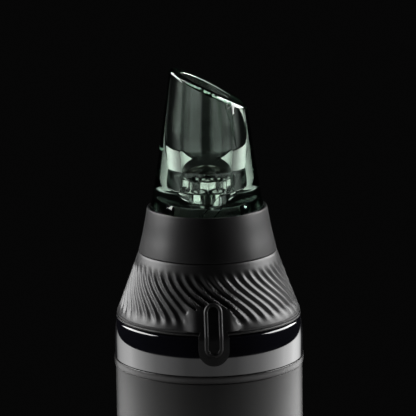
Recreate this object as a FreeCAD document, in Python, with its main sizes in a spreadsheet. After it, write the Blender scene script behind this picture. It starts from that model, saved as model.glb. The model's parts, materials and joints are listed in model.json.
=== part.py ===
"""Hand-held rotary hair trimmer with a battery tube, a ribbed twist switch and a clear slant-cut cap.

The model's frame: +Z runs up the tube, the origin is the centre of the flat foot, and -Y is the
front, where the switch's tongue points down. Lengths are in millimetres.
"""
import FreeCAD, Part

import math
import os
import re
import sys

import Sketcher

SIZES = [
    # handle tube and foot
    ("tube_radius", 15.0, "outer radius of the handle tube"),
    ("tube_wall", 1.0, "wall of the handle tube"),
    ("foot_height", 3.0, "visible height of the battery cap under the tube"),
    ("tube_top", 94.0, "top edge of the handle tube"),
    ("running_gap", 0.08, "radial clearance of a piece that slides or turns"),
    ("spigot_wall", 1.2, "wall of the battery cap's spigot"),
    ("spigot_top", 10.0, "top of the battery cap's spigot"),
    ("seal_low", 6.0, "lower edge of the battery cap's seal groove"),
    ("seal_high", 7.0, "upper edge of the battery cap's seal groove"),
    ("seal_floor", 13.05, "floor radius of the battery cap's seal groove"),
    ("grip_recess_depth", 1.6, "depth of the two finger recesses in the foot"),
    ("grip_recess_half", 2.6, "half width of a finger recess"),
    ("grip_recess_reach", 7.0, "half length of a finger recess"),
    ("grip_recess_shift", 6.0, "distance of a finger recess from the axis"),
    # power
    ("contact_radius", 8.0, "radius of the battery cap's contact disc"),
    ("contact_thick", 0.3, "thickness of the sheet-metal contacts"),
    ("cell_radius", 7.25, "radius of the AA cell"),
    ("cell_low", 14.5, "negative end of the cell"),
    ("cell_high", 64.0, "shoulder of the cell"),
    ("nub_radius", 2.75, "radius of the cell's positive nub"),
    ("nub_high", 65.0, "top of the cell's positive nub"),
    ("coil_radius", 6.2, "radius of the battery spring at its foot"),
    ("coil_wire", 0.4, "wire radius of the battery spring"),
    ("coil_pitch", 2.2, "pitch of the battery spring"),
    ("coil_angle", 12.0, "half angle by which the battery spring tapers"),
    ("sleeve_bore", 7.5, "bore radius of the battery sleeve"),
    ("sleeve_wall", 1.0, "wall of the battery sleeve"),
    ("sleeve_low", 11.0, "bottom of the battery sleeve"),
    ("sleeve_high", 65.3, "top of the battery sleeve"),
    ("fin_reach", 13.8, "radius that the sleeve's fins reach"),
    ("fin_half", 0.6, "half thickness of a fin"),
    ("bulkhead_low", 65.45, "underside of the bulkhead"),
    ("bulkhead_high", 68.0, "top of the bulkhead"),
    ("inner_radius", 13.8, "outer radius of the pieces that fit inside the tube"),
    ("strip_radius", 9.1, "inner face of the negative strip"),
    ("strip_half", 2.0, "half width of the negative strip"),
    # motor
    ("can_radius", 8.0, "outer radius of the motor can"),
    ("can_wall", 0.6, "wall of the motor can"),
    ("can_low", 70.0, "open end of the motor can"),
    ("can_high", 90.0, "closed end of the motor can"),
    ("boss_radius", 3.0, "radius of the motor's front boss"),
    ("boss_high", 91.4, "top of the motor's front boss"),
    ("shaft_radius", 1.0, "radius of the motor shaft"),
    ("shaft_gap", 0.03, "radial clearance of a shaft in its bush"),
    ("shaft_low", 68.5, "lower end of the motor shaft"),
    ("shaft_high", 98.2, "upper end of the motor shaft"),
    ("rotor_radius", 6.0, "outer radius of the armature"),
    ("rotor_low", 75.0, "lower face of the armature"),
    ("rotor_high", 86.0, "upper face of the armature"),
    ("magnet_bore", 6.3, "inner radius of the magnets"),
    ("magnet_low", 73.0, "lower end of the magnets"),
    ("magnet_high", 88.0, "upper end of the magnets"),
    ("mount_bore", 8.1, "bore radius of the motor mount"),
    ("mount_wall", 1.4, "wall of the motor mount"),
    ("plate_low", 91.5, "underside of the motor mount's top plate"),
    ("plate_high", 93.5, "top of the motor mount's top plate"),
    # neck
    ("shoulder_radius", 12.5, "radius that the trim ring and the band are pressed on"),
    ("shoulder_top", 97.0, "top of the neck's shoulder"),
    ("neck_radius", 9.0, "outer radius of the neck"),
    ("neck_bore", 6.0, "bore radius of the neck"),
    ("neck_top", 112.1, "top of the neck"),
    ("screw_circle", 10.8, "distance of the neck's screws from the axis"),
    ("screw_radius", 0.9, "radius of a neck screw's shank"),
    ("screw_head_radius", 1.55, "radius of a neck screw's head"),
    ("screw_head_height", 1.1, "height of a neck screw's head"),
    ("screw_count", 3, "number of neck screws"),
    # rings under the switch
    ("ring_radius", 15.2, "outer radius of the trim ring"),
    ("ring_top", 95.2, "top of the trim ring"),
    ("band_knee_radius", 14.86, "radius of the gloss band where its top rounds over"),
    ("band_knee", 101.1, "height where the gloss band's top rounds over"),
    ("band_top_radius", 14.45, "upper radius of the gloss band"),
    ("band_top", 101.5, "top of the gloss band"),
    # ribbed switch
    ("cone_low", 101.7, "lower edge of the switch cone"),
    ("cone_rim", 0.4, "height of the switch cone's short rim"),
    ("cone_radius", 14.8, "largest radius of the switch cone"),
    ("cone_top", 112.28, "top of the switch cone"),
    ("cone_top_radius", 11.0, "upper radius of the switch cone"),
    ("cone_wall", 1.5, "wall of the switch cone"),
    ("tongue_half", 2.43, "half width of the tongue"),
    ("tongue_low", 97.2, "tip of the tongue"),
    ("tongue_high", 107.4, "top of the tongue inside the cone"),
    ("tongue_root", 12.8, "distance of the tongue's root from the axis plane"),
    ("bead_root", 13.3, "distance of the bead's root from the axis plane"),
    ("tongue_back", 15.45, "radius of the tongue's back face below the cone"),
    ("face_high_radius", 13.6, "radius of the tongue's face at its top"),
    ("face_high", 106.9, "height where the tongue's face leaves the cone"),
    ("face_knee_radius", 15.75, "radius of the tongue's face at its knee"),
    ("face_knee", 101.5, "height of the knee in the tongue's face"),
    ("face_tip_radius", 16.1, "radius of the tongue's face at its tip"),
    ("bead_half", 1.44, "half width of the bead on the tongue"),
    ("bead_low", 98.6, "lower end of the bead"),
    ("bead_high", 106.7, "upper end of the bead"),
    ("bead_rise", 0.45, "height of the bead over the tongue's face"),
    ("insert_half", 0.9, "half width of the index insert"),
    ("insert_low", 99.3, "lower end of the index insert"),
    ("insert_high", 106.1, "upper end of the index insert"),
    ("insert_rise", 0.1, "height of the insert over the tongue's face"),
    ("insert_back", 13.3, "distance of the insert's back from the axis plane"),
    ("cam_low", 102.8, "underside of the switch cam"),
    ("cam_high", 105.2, "top of the switch cam"),
    ("cam_slot_angle", 50.0, "angle of the cam's stop slot"),
    ("slot_inner", 10.15, "inner radius of the cam's stop slot"),
    ("slot_outer", 11.45, "outer radius of the cam's stop slot"),
    ("lobe_low", 101.9, "underside of the cam's lobe"),
    ("lobe_inner", 9.2, "inner radius of the cam's lobe"),
    ("lobe_outer", 10.1, "outer radius of the cam's lobe"),
    ("lobe_angle", 14.0, "angle of the cam's lobe"),
    ("pin_radius", 0.5, "radius of the stop pin"),
    ("pin_offset_x", 10.15, "stop pin's place along X"),
    ("pin_offset_y", 3.69, "stop pin's place along Y"),
    ("pin_top", 104.6, "top of the stop pin"),
    ("ball_radius", 1.0, "radius of the detent ball"),
    ("ball_place", -10.5, "detent ball's place along Y"),
    ("guide_height", 4.6, "height of the detent's guide tube"),
    ("leaf_top", 102.4, "top of the switch leaves"),
    # drive
    ("coupling_radius", 2.6, "radius of the drive coupling"),
    ("coupling_low", 96.0, "bottom of the drive coupling"),
    ("coupling_high", 102.0, "top of the drive coupling"),
    ("socket_half", 1.05, "half width of the coupling's square socket"),
    ("socket_floor", 98.6, "floor of the coupling's square socket"),
    ("drive_radius", 0.95, "radius of the drive shaft"),
    ("square_half", 0.9, "half width of the drive shaft's square end"),
    ("square_low", 99.0, "lower end of the drive shaft"),
    ("square_high", 103.5, "top of the drive shaft's square end"),
    ("drive_high", 121.0, "upper end of the drive shaft"),
    # head
    ("head_low", 104.0, "lower end of the head's spigot"),
    ("head_bore", 3.0, "bore radius of the head base"),
    ("collar_low", 112.38, "lower edge of the collar"),
    ("collar_top", 119.4, "upper edge of the collar"),
    ("collar_top_radius", 9.55, "upper outer radius of the collar"),
    ("collar_bore", 9.12, "bore radius of the collar"),
    ("seat_top", 114.2, "face that the clear cap sits on"),
    ("boss_out", 5.3, "radius of the metal boss inside the clear cap"),
    ("boss_top", 119.9, "top of the metal boss"),
    ("flange_radius", 4.25, "radius of the cutter guard's flange"),
    ("flange_low", 118.9, "underside of the cutter guard's flange"),
    ("guard_radius", 2.9, "outer radius of the cutter guard"),
    ("guard_wall", 0.4, "wall of the cutter guard"),
    ("guard_shoulder", 123.7, "height where the guard's dome begins"),
    ("guard_top", 124.9, "top of the cutter guard"),
    ("guard_slot_low", 122.2, "lower end of the guard's slots"),
    ("guard_slot_width", 0.5, "width of a slot in the guard"),
    ("guard_slots", 12, "number of slots in the guard"),
    ("blade_radius", 2.35, "radius that the blades reach"),
    ("blade_low", 119.3, "underside of the rotary cutter"),
    ("blade_foot", 120.3, "top of the rotary cutter's foot"),
    ("blade_top", 123.3, "top of the blades"),
    ("blade_thick", 0.4, "thickness of a blade"),
    ("blade_count", 4, "number of blades"),
    ("bush_low", 112.5, "lower end of the drive bush"),
    ("bush_high", 115.5, "upper end of the drive bush"),
    # clear cap
    ("cap_low", 114.3, "lower edge of the clear cap"),
    ("cap_foot_radius", 9.0, "radius of the clear cap's foot"),
    ("cap_foot_top", 119.8, "top of the clear cap's straight foot"),
    ("cap_waist_radius", 8.7, "radius where the foot's flare ends"),
    ("cap_waist", 121.0, "height where the foot's flare ends"),
    ("cap_side_radius", 7.78, "radius where the cap's side steepens"),
    ("cap_side", 126.5, "height where the cap's side steepens"),
    ("cap_blank_top", 143.0, "height of the cap's blank before the slanted cut"),
    ("cap_blank_radius", 5.54, "radius at the top of the cap's blank"),
    ("cap_socket", 5.4, "radius of the socket over the metal boss"),
    ("cap_web_low", 120.0, "underside of the web"),
    ("cap_web_high", 122.0, "top of the web"),
    ("cap_hole", 3.15, "radius of the hole for the cutter guard"),
    ("bore_floor_radius", 4.4, "bore radius just over the web"),
    ("bore_waist_radius", 4.15, "smallest radius of the bore's waist"),
    ("bore_waist", 125.0, "height of the bore's waist"),
    ("bore_belly_radius", 4.35, "largest radius of the bore over the waist"),
    ("bore_belly", 128.5, "height of the bore's belly"),
    ("bore_mouth_radius", 3.75, "bore radius at the top of the blank"),
    ("mouth_high", 142.0, "height of the mouth on its high side"),
    ("mouth_low", 135.9, "height of the mouth on its low side"),
    ("mouth_half", 6.0, "half width over which the mouth falls"),
    ("cut_reach", 9.0, "half width of the slanted cut"),
    ("cap_seal_low", 116.6, "lower edge of the cap's seal groove"),
    ("cap_seal_high", 117.6, "upper edge of the cap's seal groove"),
    ("cap_seal_floor", 8.35, "floor radius of the cap's seal groove"),
    ("crown_bore", 3.3, "bore radius of the centring crown"),
    ("crown_radius", 4.1, "outer radius of the centring crown"),
    ("crown_brow_radius", 3.6, "upper outer radius of the centring crown"),
    ("crown_shoulder", 123.8, "height where the crown's brow begins"),
    ("crown_top", 124.6, "top of the centring crown"),
    ("crown_flute_depth", 0.5, "depth of a flute in the crown"),
    ("crown_flute_half", 0.75, "half width of a flute at the crown's outer radius"),
    ("crown_flutes", 10, "number of flutes round the crown"),
    ("track_width", 1.6, "width of the slanting track in the cap's foot"),
    ("track_low", 119.6, "lower end of the slanting track"),
    ("track_high", 123.0, "upper end of the slanting track"),
    ("track_start", -0.6, "left end of the slanting track"),
    ("track_run", 2.9, "sideways run of the slanting track"),
    ("track_depth_radius", 7.7, "distance of the track's floor from the axis plane"),
]

doc = FreeCAD.newDocument("hair_trimmer")
parts = {}


# ---------------------------------------------------------------- sheet and expressions

def make_sheet():
    """Put every driving dimension in the spreadsheet under its alias."""
    sheet = doc.addObject("Spreadsheet::Sheet", "dims")
    for row, (alias, size, meaning) in enumerate(SIZES, start=1):
        sheet.set(f"A{row}", meaning)
        sheet.set(f"B{row}", str(size))
        sheet.setAlias(f"B{row}", alias)
    doc.recompute()
    return sheet


def bound(text):
    """Turn a formula of alias names into an expression on the sheet."""
    return re.sub(r"[a-z][a-z_]*", lambda word: "dims." + word.group(), str(text))


def size_of(text):
    """Work a formula out as a number."""
    return float(dims.evalExpression(bound(text)))


def bind(item, **formulas):
    """Bind properties of an object to formulas."""
    for name, formula in formulas.items():
        item.setExpression(name, bound(formula))


# ---------------------------------------------------------------- sketches

def new_body(label):
    body = doc.addObject("PartDesign::Body", label)
    body.Label = label
    parts[label] = body
    return body


def new_sketch(body, plane, offset="0", turn=0.0):
    """An empty sketch on one of the body's origin planes, moved along its normal."""
    sketch = body.newObject("Sketcher::SketchObject", body.Name + "_sketch")
    sketch.AttachmentSupport = [(origin_feature(body, plane), "")]
    sketch.MapMode = "FlatFace"
    if turn:
        rotation = FreeCAD.Rotation(FreeCAD.Vector(0, 0, 1), turn)
        sketch.AttachmentOffset = FreeCAD.Placement(FreeCAD.Vector(), rotation)
    if offset != "0":
        sketch.setExpression(".AttachmentOffset.Base.z", bound(offset))
    return sketch


def hold(sketch, curve, point, x, y):
    """Fix one point of a curve at two formulas measured from the sketch's origin."""
    for kind, formula, axis in (("DistanceX", x, -2), ("DistanceY", y, -1)):
        size = size_of(formula)
        if abs(size) < 1e-9:
            sketch.addConstraint(Sketcher.Constraint("PointOnObject", curve, point, axis))
            continue
        index = sketch.addConstraint(Sketcher.Constraint(kind, -1, 1, curve, point, size))
        sketch.setExpression(f"Constraints[{index}]", bound(formula))


def outline(body, corners, plane="XZ_Plane", offset="0", turn=0.0):
    """A closed outline of straight lines through corners given as formulas."""
    sketch = new_sketch(body, plane, offset, turn)
    places = [FreeCAD.Vector(size_of(x), size_of(y), 0) for x, y in corners]
    for start, end in zip(places, places[1:] + places[:1]):
        sketch.addGeometry(Part.LineSegment(start, end))
    for index in range(len(corners)):
        following = (index + 1) % len(corners)
        sketch.addConstraint(Sketcher.Constraint("Coincident", index, 2, following, 1))
    for index, (x, y) in enumerate(corners):
        hold(sketch, index, 1, x, y)
    return sketch


def pill(body, half, low, high, plane="XZ_Plane", offset="0", shift=None):
    """An upright slot outline: two straight sides closed by half circles."""
    sketch = new_sketch(body, plane, offset)
    if shift:
        sketch.setExpression(".AttachmentOffset.Base.x", bound(shift))
    wide, bottom, top = size_of(half), size_of(low), size_of(high)
    normal = FreeCAD.Vector(0, 0, 1)
    upper = Part.Circle(FreeCAD.Vector(0, top - wide, 0), normal, wide)
    lower = Part.Circle(FreeCAD.Vector(0, bottom + wide, 0), normal, wide)
    right_low, right_high = FreeCAD.Vector(wide, bottom + wide, 0), FreeCAD.Vector(wide, top - wide, 0)
    left_low, left_high = FreeCAD.Vector(-wide, bottom + wide, 0), FreeCAD.Vector(-wide, top - wide, 0)
    sketch.addGeometry(Part.LineSegment(right_low, right_high))
    sketch.addGeometry(Part.ArcOfCircle(upper, 0, math.pi))
    sketch.addGeometry(Part.LineSegment(left_high, left_low))
    sketch.addGeometry(Part.ArcOfCircle(lower, math.pi, 2 * math.pi))
    for first, end, second, start in ((0, 2, 1, 1), (1, 2, 2, 1), (2, 2, 3, 1), (3, 2, 0, 1)):
        sketch.addConstraint(Sketcher.Constraint("Tangent", first, end, second, start))
    hold(sketch, 1, 3, "0", f"({high}) - ({half})")
    hold(sketch, 3, 3, "0", f"({low}) + ({half})")
    index = sketch.addConstraint(Sketcher.Constraint("Radius", 1, wide))
    sketch.setExpression(f"Constraints[{index}]", bound(half))
    sketch.addConstraint(Sketcher.Constraint("Equal", 1, 3))
    return sketch


def circle(body, radius, x="0", y="0", plane="XY_Plane", offset="0"):
    """A round outline at a place given by formulas."""
    sketch = new_sketch(body, plane, offset)
    centre = FreeCAD.Vector(size_of(x), size_of(y), 0)
    sketch.addGeometry(Part.Circle(centre, FreeCAD.Vector(0, 0, 1), size_of(radius)))
    hold(sketch, 0, 3, x, y)
    index = sketch.addConstraint(Sketcher.Constraint("Radius", 0, size_of(radius)))
    sketch.setExpression(f"Constraints[{index}]", bound(radius))
    return sketch


# ---------------------------------------------------------------- features

def revolve(body, sketch, kind="Revolution", angle=None, both_ways=False):
    """Turn an outline about the body's upright axis, adding or cutting material."""
    feature = body.newObject("PartDesign::" + kind, body.Name + "_" + kind.lower())
    feature.Profile = sketch
    feature.ReferenceAxis = (sketch, ["V_Axis"])
    feature.Angle = 360
    feature.Midplane = both_ways
    if angle:
        feature.setExpression("Angle", bound(angle))
    return feature


def extrude(body, sketch, length, kind="Pad", symmetric=False, reverse=False):
    """Push an outline along its normal, adding or cutting material."""
    feature = body.newObject("PartDesign::" + kind, body.Name + "_" + kind.lower())
    feature.Profile = sketch
    feature.SideType = "Symmetric" if symmetric else "One side"
    feature.Reversed = reverse
    feature.setExpression("Length", bound(length))
    return feature


def cut_checked(body, make_cut):
    """Make a cut and stop if it took nothing away."""
    doc.recompute()
    before = body.Shape.Volume
    feature = make_cut()
    doc.recompute()
    if body.Shape.Volume > before - 1e-4:
        raise RuntimeError(f"{feature.Name} cuts nothing")
    return feature


def origin_feature(body, role):
    """One of the body's own origin planes or axes."""
    return next(item for item in body.Origin.OriginFeatures if item.Role == role)


def repeat(body, features, count):
    """Repeat features evenly round the upright axis."""
    pattern = body.newObject("PartDesign::PolarPattern", body.Name + "_pattern")
    pattern.Originals = features
    pattern.Axis = (origin_feature(body, "Z_Axis"), [""])
    pattern.Angle = 360
    pattern.setExpression("Occurrences", bound(count))
    body.Tip = pattern
    return pattern


def turned(label, corners):
    """A piece made on the lathe from one closed outline of (radius, height) corners."""
    body = new_body(label)
    revolve(body, outline(body, corners))
    return body


def bar(name, radius, low, high, x="0", y="0"):
    """An upright round bar."""
    item = doc.addObject("Part::Cylinder", name)
    bind(item, Radius=radius, Height=f"({high}) - ({low})")
    bind(item, **{".Placement.Base.x": x, ".Placement.Base.y": y, ".Placement.Base.z": low})
    return item


def block(name, lengths, corner):
    """An upright block given by its three lengths and its lowest corner."""
    item = doc.addObject("Part::Box", name)
    bind(item, Length=lengths[0], Width=lengths[1], Height=lengths[2])
    for axis, formula in zip("xyz", corner):
        item.setExpression(".Placement.Base." + axis, bound(formula))
    return item


def subtract(name, base, tool):
    item = doc.addObject("Part::Cut", name)
    item.Base = base
    item.Tool = tool
    return item


def group(label, items):
    """Several separate solids kept as one node."""
    item = doc.addObject("Part::Compound", label)
    item.Label = label
    item.Links = items
    parts[label] = item
    return item


def turn_about_axis(item, degrees):
    """Turn a finished object about the upright axis through the origin."""
    spin = FreeCAD.Placement(FreeCAD.Vector(), FreeCAD.Rotation(FreeCAD.Vector(0, 0, 1), degrees))
    item.Placement = spin.multiply(item.Placement)


def coil(label, radius, wire, pitch, low, high, x="0", y="0", angle="0"):
    """A wire spring: a round section swept along a helix."""
    helix = doc.addObject("Part::Helix", label + "_path")
    bind(helix, Radius=radius, Pitch=pitch, Height=f"({high}) - ({low})", Angle=angle)
    helix.SegmentLength = 1
    section = doc.addObject("Part::Circle", label + "_section")
    bind(section, Radius=wire)
    section.Placement.Rotation = FreeCAD.Rotation(FreeCAD.Vector(1, 0, 0), 90)
    section.setExpression(".Placement.Base.x", bound(radius))
    sweep = doc.addObject("Part::Sweep", label)
    sweep.Label = label
    doc.recompute()
    sweep.Sections = [section]
    sweep.Spine = (helix, [f"Edge{index + 1}" for index in range(len(helix.Shape.Edges))])
    sweep.Solid = True
    sweep.Frenet = True
    for axis, formula in zip("xyz", (x, y, low)):
        sweep.setExpression(".Placement.Base." + axis, bound(formula))
    parts[label] = sweep
    return sweep


# ---------------------------------------------------------------- handle and battery

def make_body_tube():
    inner = "tube_radius - tube_wall"
    turned("body_tube", [(inner, "foot_height + 0.05"), ("tube_radius", "foot_height + 0.05"),
                         ("tube_radius", "tube_top"), (inner, "tube_top")])


def make_tail_cap():
    spigot = "tube_radius - tube_wall - running_gap"
    bore = spigot + " - spigot_wall"
    edge = "0.6"
    body = turned("tail_cap", [
        ("0", "0"), (f"tube_radius - {edge}", "0"), ("tube_radius", edge), ("tube_radius", "foot_height"),
        (spigot, "foot_height"), (spigot, "seal_low"), ("seal_floor", "seal_low"),
        ("seal_floor", "seal_high"), (spigot, "seal_high"), (spigot, "spigot_top"),
        (bore, "spigot_top"), (bore, "foot_height"), ("0", "foot_height")])
    recess = pill(body, "grip_recess_half", "-grip_recess_reach", "grip_recess_reach",
                  plane="XY_Plane", shift="grip_recess_shift")
    cut = cut_checked(body, lambda: extrude(body, recess, "grip_recess_depth", "Pocket", reverse=True))
    repeat(body, [cut], "2")


def make_ring_seal(label, floor, outer, low, high):
    """An O-ring that fills its groove almost to the floor."""
    slack = 0.03
    item = doc.addObject("Part::Torus", label)
    item.Label = label
    bind(item, Radius1=f"(({floor}) + ({outer})) / 2", Radius2=f"(({outer}) - ({floor})) / 2 - {slack}")
    item.setExpression(".Placement.Base.z", bound(f"(({low}) + ({high})) / 2"))
    parts[label] = item


def make_battery_pieces():
    rest = "foot_height + contact_thick"
    turned("tail_contact", [("0", "foot_height"), ("contact_radius", "foot_height"),
                            ("contact_radius", rest), ("0", rest)])
    coil("tail_spring", "coil_radius", "coil_wire", "coil_pitch", rest + " + coil_wire",
         "cell_low - coil_wire - 0.1", angle="-coil_angle")
    turned("battery_cell", [("0", "cell_low"), ("cell_radius", "cell_low"), ("cell_radius", "cell_high"),
                            ("nub_radius", "cell_high"), ("nub_radius", "nub_high"), ("0", "nub_high")])
    sleeve = turned("battery_sleeve", [
        ("sleeve_bore", "sleeve_low"), ("sleeve_bore + sleeve_wall", "sleeve_low"),
        ("sleeve_bore + sleeve_wall", "sleeve_high"), ("sleeve_bore", "sleeve_high")])
    fin = outline(sleeve, [("sleeve_bore + sleeve_wall / 2", "sleeve_low"), ("fin_reach", "sleeve_low"),
                           ("fin_reach", "sleeve_high"), ("sleeve_bore + sleeve_wall / 2", "sleeve_high")])
    pad = extrude(sleeve, fin, "2 * fin_half", symmetric=True)
    repeat(sleeve, [pad], "4")
    turn_about_axis(sleeve, 45)


def make_contacts():
    turned("positive_contact", [("0", "nub_high + 0.05"), ("nub_radius * 2", "nub_high + 0.05"),
                                ("nub_radius * 2", "bulkhead_low"), ("0", "bulkhead_low")])
    bulkhead = turned("bulkhead", [("0", "bulkhead_low"), ("inner_radius", "bulkhead_low"),
                                   ("inner_radius", "bulkhead_high"), ("0", "bulkhead_high")])
    slack = 0.15
    slot = outline(bulkhead, [
        (f"strip_radius - {slack}", f"-strip_half - {slack}"),
        (f"strip_radius + contact_thick + {slack}", f"-strip_half - {slack}"),
        (f"strip_radius + contact_thick + {slack}", f"strip_half + {slack}"),
        (f"strip_radius - {slack}", f"strip_half + {slack}")], plane="XY_Plane", offset="bulkhead_high")
    cut_checked(bulkhead, lambda: extrude(bulkhead, slot, "bulkhead_high - bulkhead_low + 1", "Pocket"))
    strip = new_body("negative_strip")
    foot = "spigot_top + 0.3"
    profile = outline(strip, [
        ("strip_radius", foot), ("tube_radius - tube_wall - spigot_wall", foot),
        ("tube_radius - tube_wall - spigot_wall", foot + " + contact_thick"),
        ("strip_radius + contact_thick", foot + " + contact_thick"),
        ("strip_radius + contact_thick", "bulkhead_high"), ("strip_radius", "bulkhead_high")])
    extrude(strip, profile, "2 * strip_half", symmetric=True)


# ---------------------------------------------------------------- motor

def make_motor_stator():
    wall_inner = "can_radius - can_wall"
    bush_radius = "boss_radius / 2 + 0.1"
    turned("motor_can", [
        (wall_inner, "can_low"), ("can_radius", "can_low"), ("can_radius", "can_high"),
        ("boss_radius", "can_high"), ("boss_radius", "boss_high"), (bush_radius, "boss_high"),
        (bush_radius, "can_high - can_wall"), (wall_inner, "can_high - can_wall")])
    turned("motor_bush", [
        ("shaft_radius + shaft_gap", "can_high - 1.1"), ("boss_radius / 2 + 0.08", "can_high - 1.1"),
        ("boss_radius / 2 + 0.08", "boss_high - 0.1"), ("shaft_radius + shaft_gap", "boss_high - 0.1")])
    turned("motor_end_bell", [
        ("shaft_radius + shaft_gap", "bulkhead_high + 0.2"), ("can_radius", "bulkhead_high + 0.2"),
        ("can_radius", "can_low"), (wall_inner + " - 0.05", "can_low"),
        (wall_inner + " - 0.05", "can_low + 1"), (wall_inner + " - 0.8", "can_low + 1"),
        (wall_inner + " - 0.8", "can_low"), ("shaft_radius + shaft_gap", "can_low")])
    make_magnets(wall_inner)
    brushes = []
    for side in (0, 180):
        brush = block(f"brush_{side}", ("1.4", "0.8", "1.5"),
                      ("shaft_radius * 2 + 0.3", "-0.4", "can_low + 0.6"))
        turn_about_axis_later(brush, side)
        brushes.append(brush)
    group("motor_brushes", brushes)


def turn_about_axis_later(item, degrees):
    """Turn a block about the upright axis after its expressions have placed it."""
    doc.recompute()
    for axis in "xyz":
        item.setExpression(".Placement.Base." + axis, None)
    turn_about_axis(item, degrees)


def make_magnets(wall_inner):
    arc = 120
    magnets = []
    for side in (0, 180):
        outer = bar(f"magnet_outer_{side}", wall_inner + " - 0.03", "magnet_low", "magnet_high")
        outer.Angle = arc
        inner = bar(f"magnet_inner_{side}", "magnet_bore", "magnet_low - 1", "magnet_high + 1")
        magnet = subtract(f"magnet_{side}", outer, inner)
        magnet.Placement.Rotation = FreeCAD.Rotation(FreeCAD.Vector(0, 0, 1), side - arc / 2)
        magnets.append(magnet)
    group("motor_magnets", magnets)


def make_motor_rotor():
    turned("motor_shaft", [("0", "shaft_low"), ("shaft_radius", "shaft_low"),
                           ("shaft_radius", "shaft_high"), ("0", "shaft_high")])
    turned("commutator", [("shaft_radius", "can_low + 0.4"), ("shaft_radius * 2", "can_low + 0.4"),
                          ("shaft_radius * 2", "can_low + 3"), ("shaft_radius", "can_low + 3")])
    pole_half, shoe_depth, shoe_angle = "0.8", "0.9", "84"
    armature = turned("armature", [("shaft_radius", "rotor_low"), ("shaft_radius + 1.4", "rotor_low"),
                                   ("shaft_radius + 1.4", "rotor_high"), ("shaft_radius", "rotor_high")])
    root, reach = "shaft_radius + 1", f"rotor_radius - {shoe_depth} / 2"
    arm = outline(armature, [(root, "rotor_low"), (reach, "rotor_low"),
                             (reach, "rotor_high"), (root, "rotor_high")])
    pad = extrude(armature, arm, f"2 * {pole_half}", symmetric=True)
    shoe = outline(armature, [(f"rotor_radius - {shoe_depth}", "rotor_low"), ("rotor_radius", "rotor_low"),
                              ("rotor_radius", "rotor_high"), (f"rotor_radius - {shoe_depth}", "rotor_high")])
    cap = revolve(armature, shoe, angle=shoe_angle, both_ways=True)
    repeat(armature, [pad, cap], "3")
    make_windings(pole_half)


def make_windings(pole_half):
    wire, inner, reach = "1.0", "shaft_radius + 1.5", "rotor_radius - 1.4"
    coils = []
    for index in range(3):
        long, wide = f"({reach}) - ({inner})", f"2 * ({pole_half} + {wire})"
        outer = block(f"winding_outer_{index}", (long, wide, f"rotor_high - rotor_low + 2 * {wire}"),
                      (inner, f"-{pole_half} - {wire}", f"rotor_low - {wire}"))
        hole = block(f"winding_hole_{index}", ("rotor_radius", f"2 * {pole_half}", "rotor_high - rotor_low"),
                     ("shaft_radius", f"-{pole_half}", "rotor_low"))
        winding = subtract(f"winding_{index}", outer, hole)
        winding.Placement.Rotation = FreeCAD.Rotation(FreeCAD.Vector(0, 0, 1), 120 * index)
        coils.append(winding)
    group("windings", coils)


# ---------------------------------------------------------------- neck and rings

def drill(body, radius, x, y, top, depth):
    """Drill a round hole downwards from a height."""
    sketch = circle(body, radius, x, y, offset=top)
    return cut_checked(body, lambda: extrude(body, sketch, depth, "Pocket"))


def make_motor_mount():
    outer = "mount_bore + mount_wall"
    body = turned("motor_mount", [
        ("mount_bore", "bulkhead_high + 0.05"), ("inner_radius", "bulkhead_high + 0.05"),
        ("inner_radius", "bulkhead_high + 1.5"), (outer, "bulkhead_high + 1.5"), (outer, "plate_low"),
        ("inner_radius", "plate_low"), ("inner_radius", "plate_high"), ("boss_radius + 0.2", "plate_high"),
        ("boss_radius + 0.2", "can_high + 0.1"), ("mount_bore", "can_high + 0.1")])
    hole = drill(body, "screw_radius", "0", "screw_circle", "plate_high", "plate_high - plate_low")
    repeat(body, [hole], "screw_count")


def make_neck_frame():
    chamber = "7.5"
    low = "plate_high + 0.02"
    body = turned("neck_frame", [
        (chamber, low), ("inner_radius", low), ("inner_radius", "tube_top"),
        ("shoulder_radius", "tube_top"), ("shoulder_radius", "shoulder_top"), ("neck_radius", "shoulder_top"),
        ("neck_radius", "neck_top"), ("neck_bore", "neck_top"), ("neck_bore", "shoulder_top"),
        (chamber, "shoulder_top")])
    hole = drill(body, "screw_radius + 0.05", "0", "screw_circle", "shoulder_top",
                         "shoulder_top - plate_high")
    repeat(body, [hole], "screw_count")


def make_neck_screws():
    screws = []
    for index in range(int(size_of("screw_count"))):
        shank = bar(f"screw_shank_{index}", "screw_radius - 0.02", "plate_low + 0.2", "shoulder_top + 0.2",
                    y="screw_circle")
        head = bar(f"screw_head_{index}", "screw_head_radius", "shoulder_top + 0.02",
                   "shoulder_top + screw_head_height", y="screw_circle")
        whole = doc.addObject("Part::Fuse", f"screw_blank_{index}")
        whole.Base = head
        whole.Tool = shank
        slot = block(f"screw_slot_{index}", ("4 * screw_head_radius", "0.5", "1"),
                     ("-2 * screw_head_radius", "screw_circle - 0.25",
                      "shoulder_top + screw_head_height - 0.5"))
        screw = subtract(f"screw_{index}", whole, slot)
        screw.Placement.Rotation = FreeCAD.Rotation(FreeCAD.Vector(0, 0, 1), 120 * index)
        screws.append(screw)
    group("neck_screws", screws)


def make_rings():
    bore = "shoulder_radius + 0.05"
    turned("trim_ring", [(bore, "tube_top + 0.05"), ("ring_radius - 0.1", "tube_top + 0.05"),
                         ("ring_radius", "tube_top + 0.15"), ("ring_radius", "ring_top - 0.1"),
                         ("ring_radius - 0.1", "ring_top"), (bore, "ring_top")])
    turned("gloss_band", [(bore, "ring_top + 0.05"), ("ring_radius - 0.05", "ring_top + 0.05"),
                          ("ring_radius - 0.05", "band_knee - 2.1"), ("band_knee_radius", "band_knee"),
                          ("band_top_radius", "band_top"), (bore, "band_top")])


# ---------------------------------------------------------------- twist switch

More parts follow.
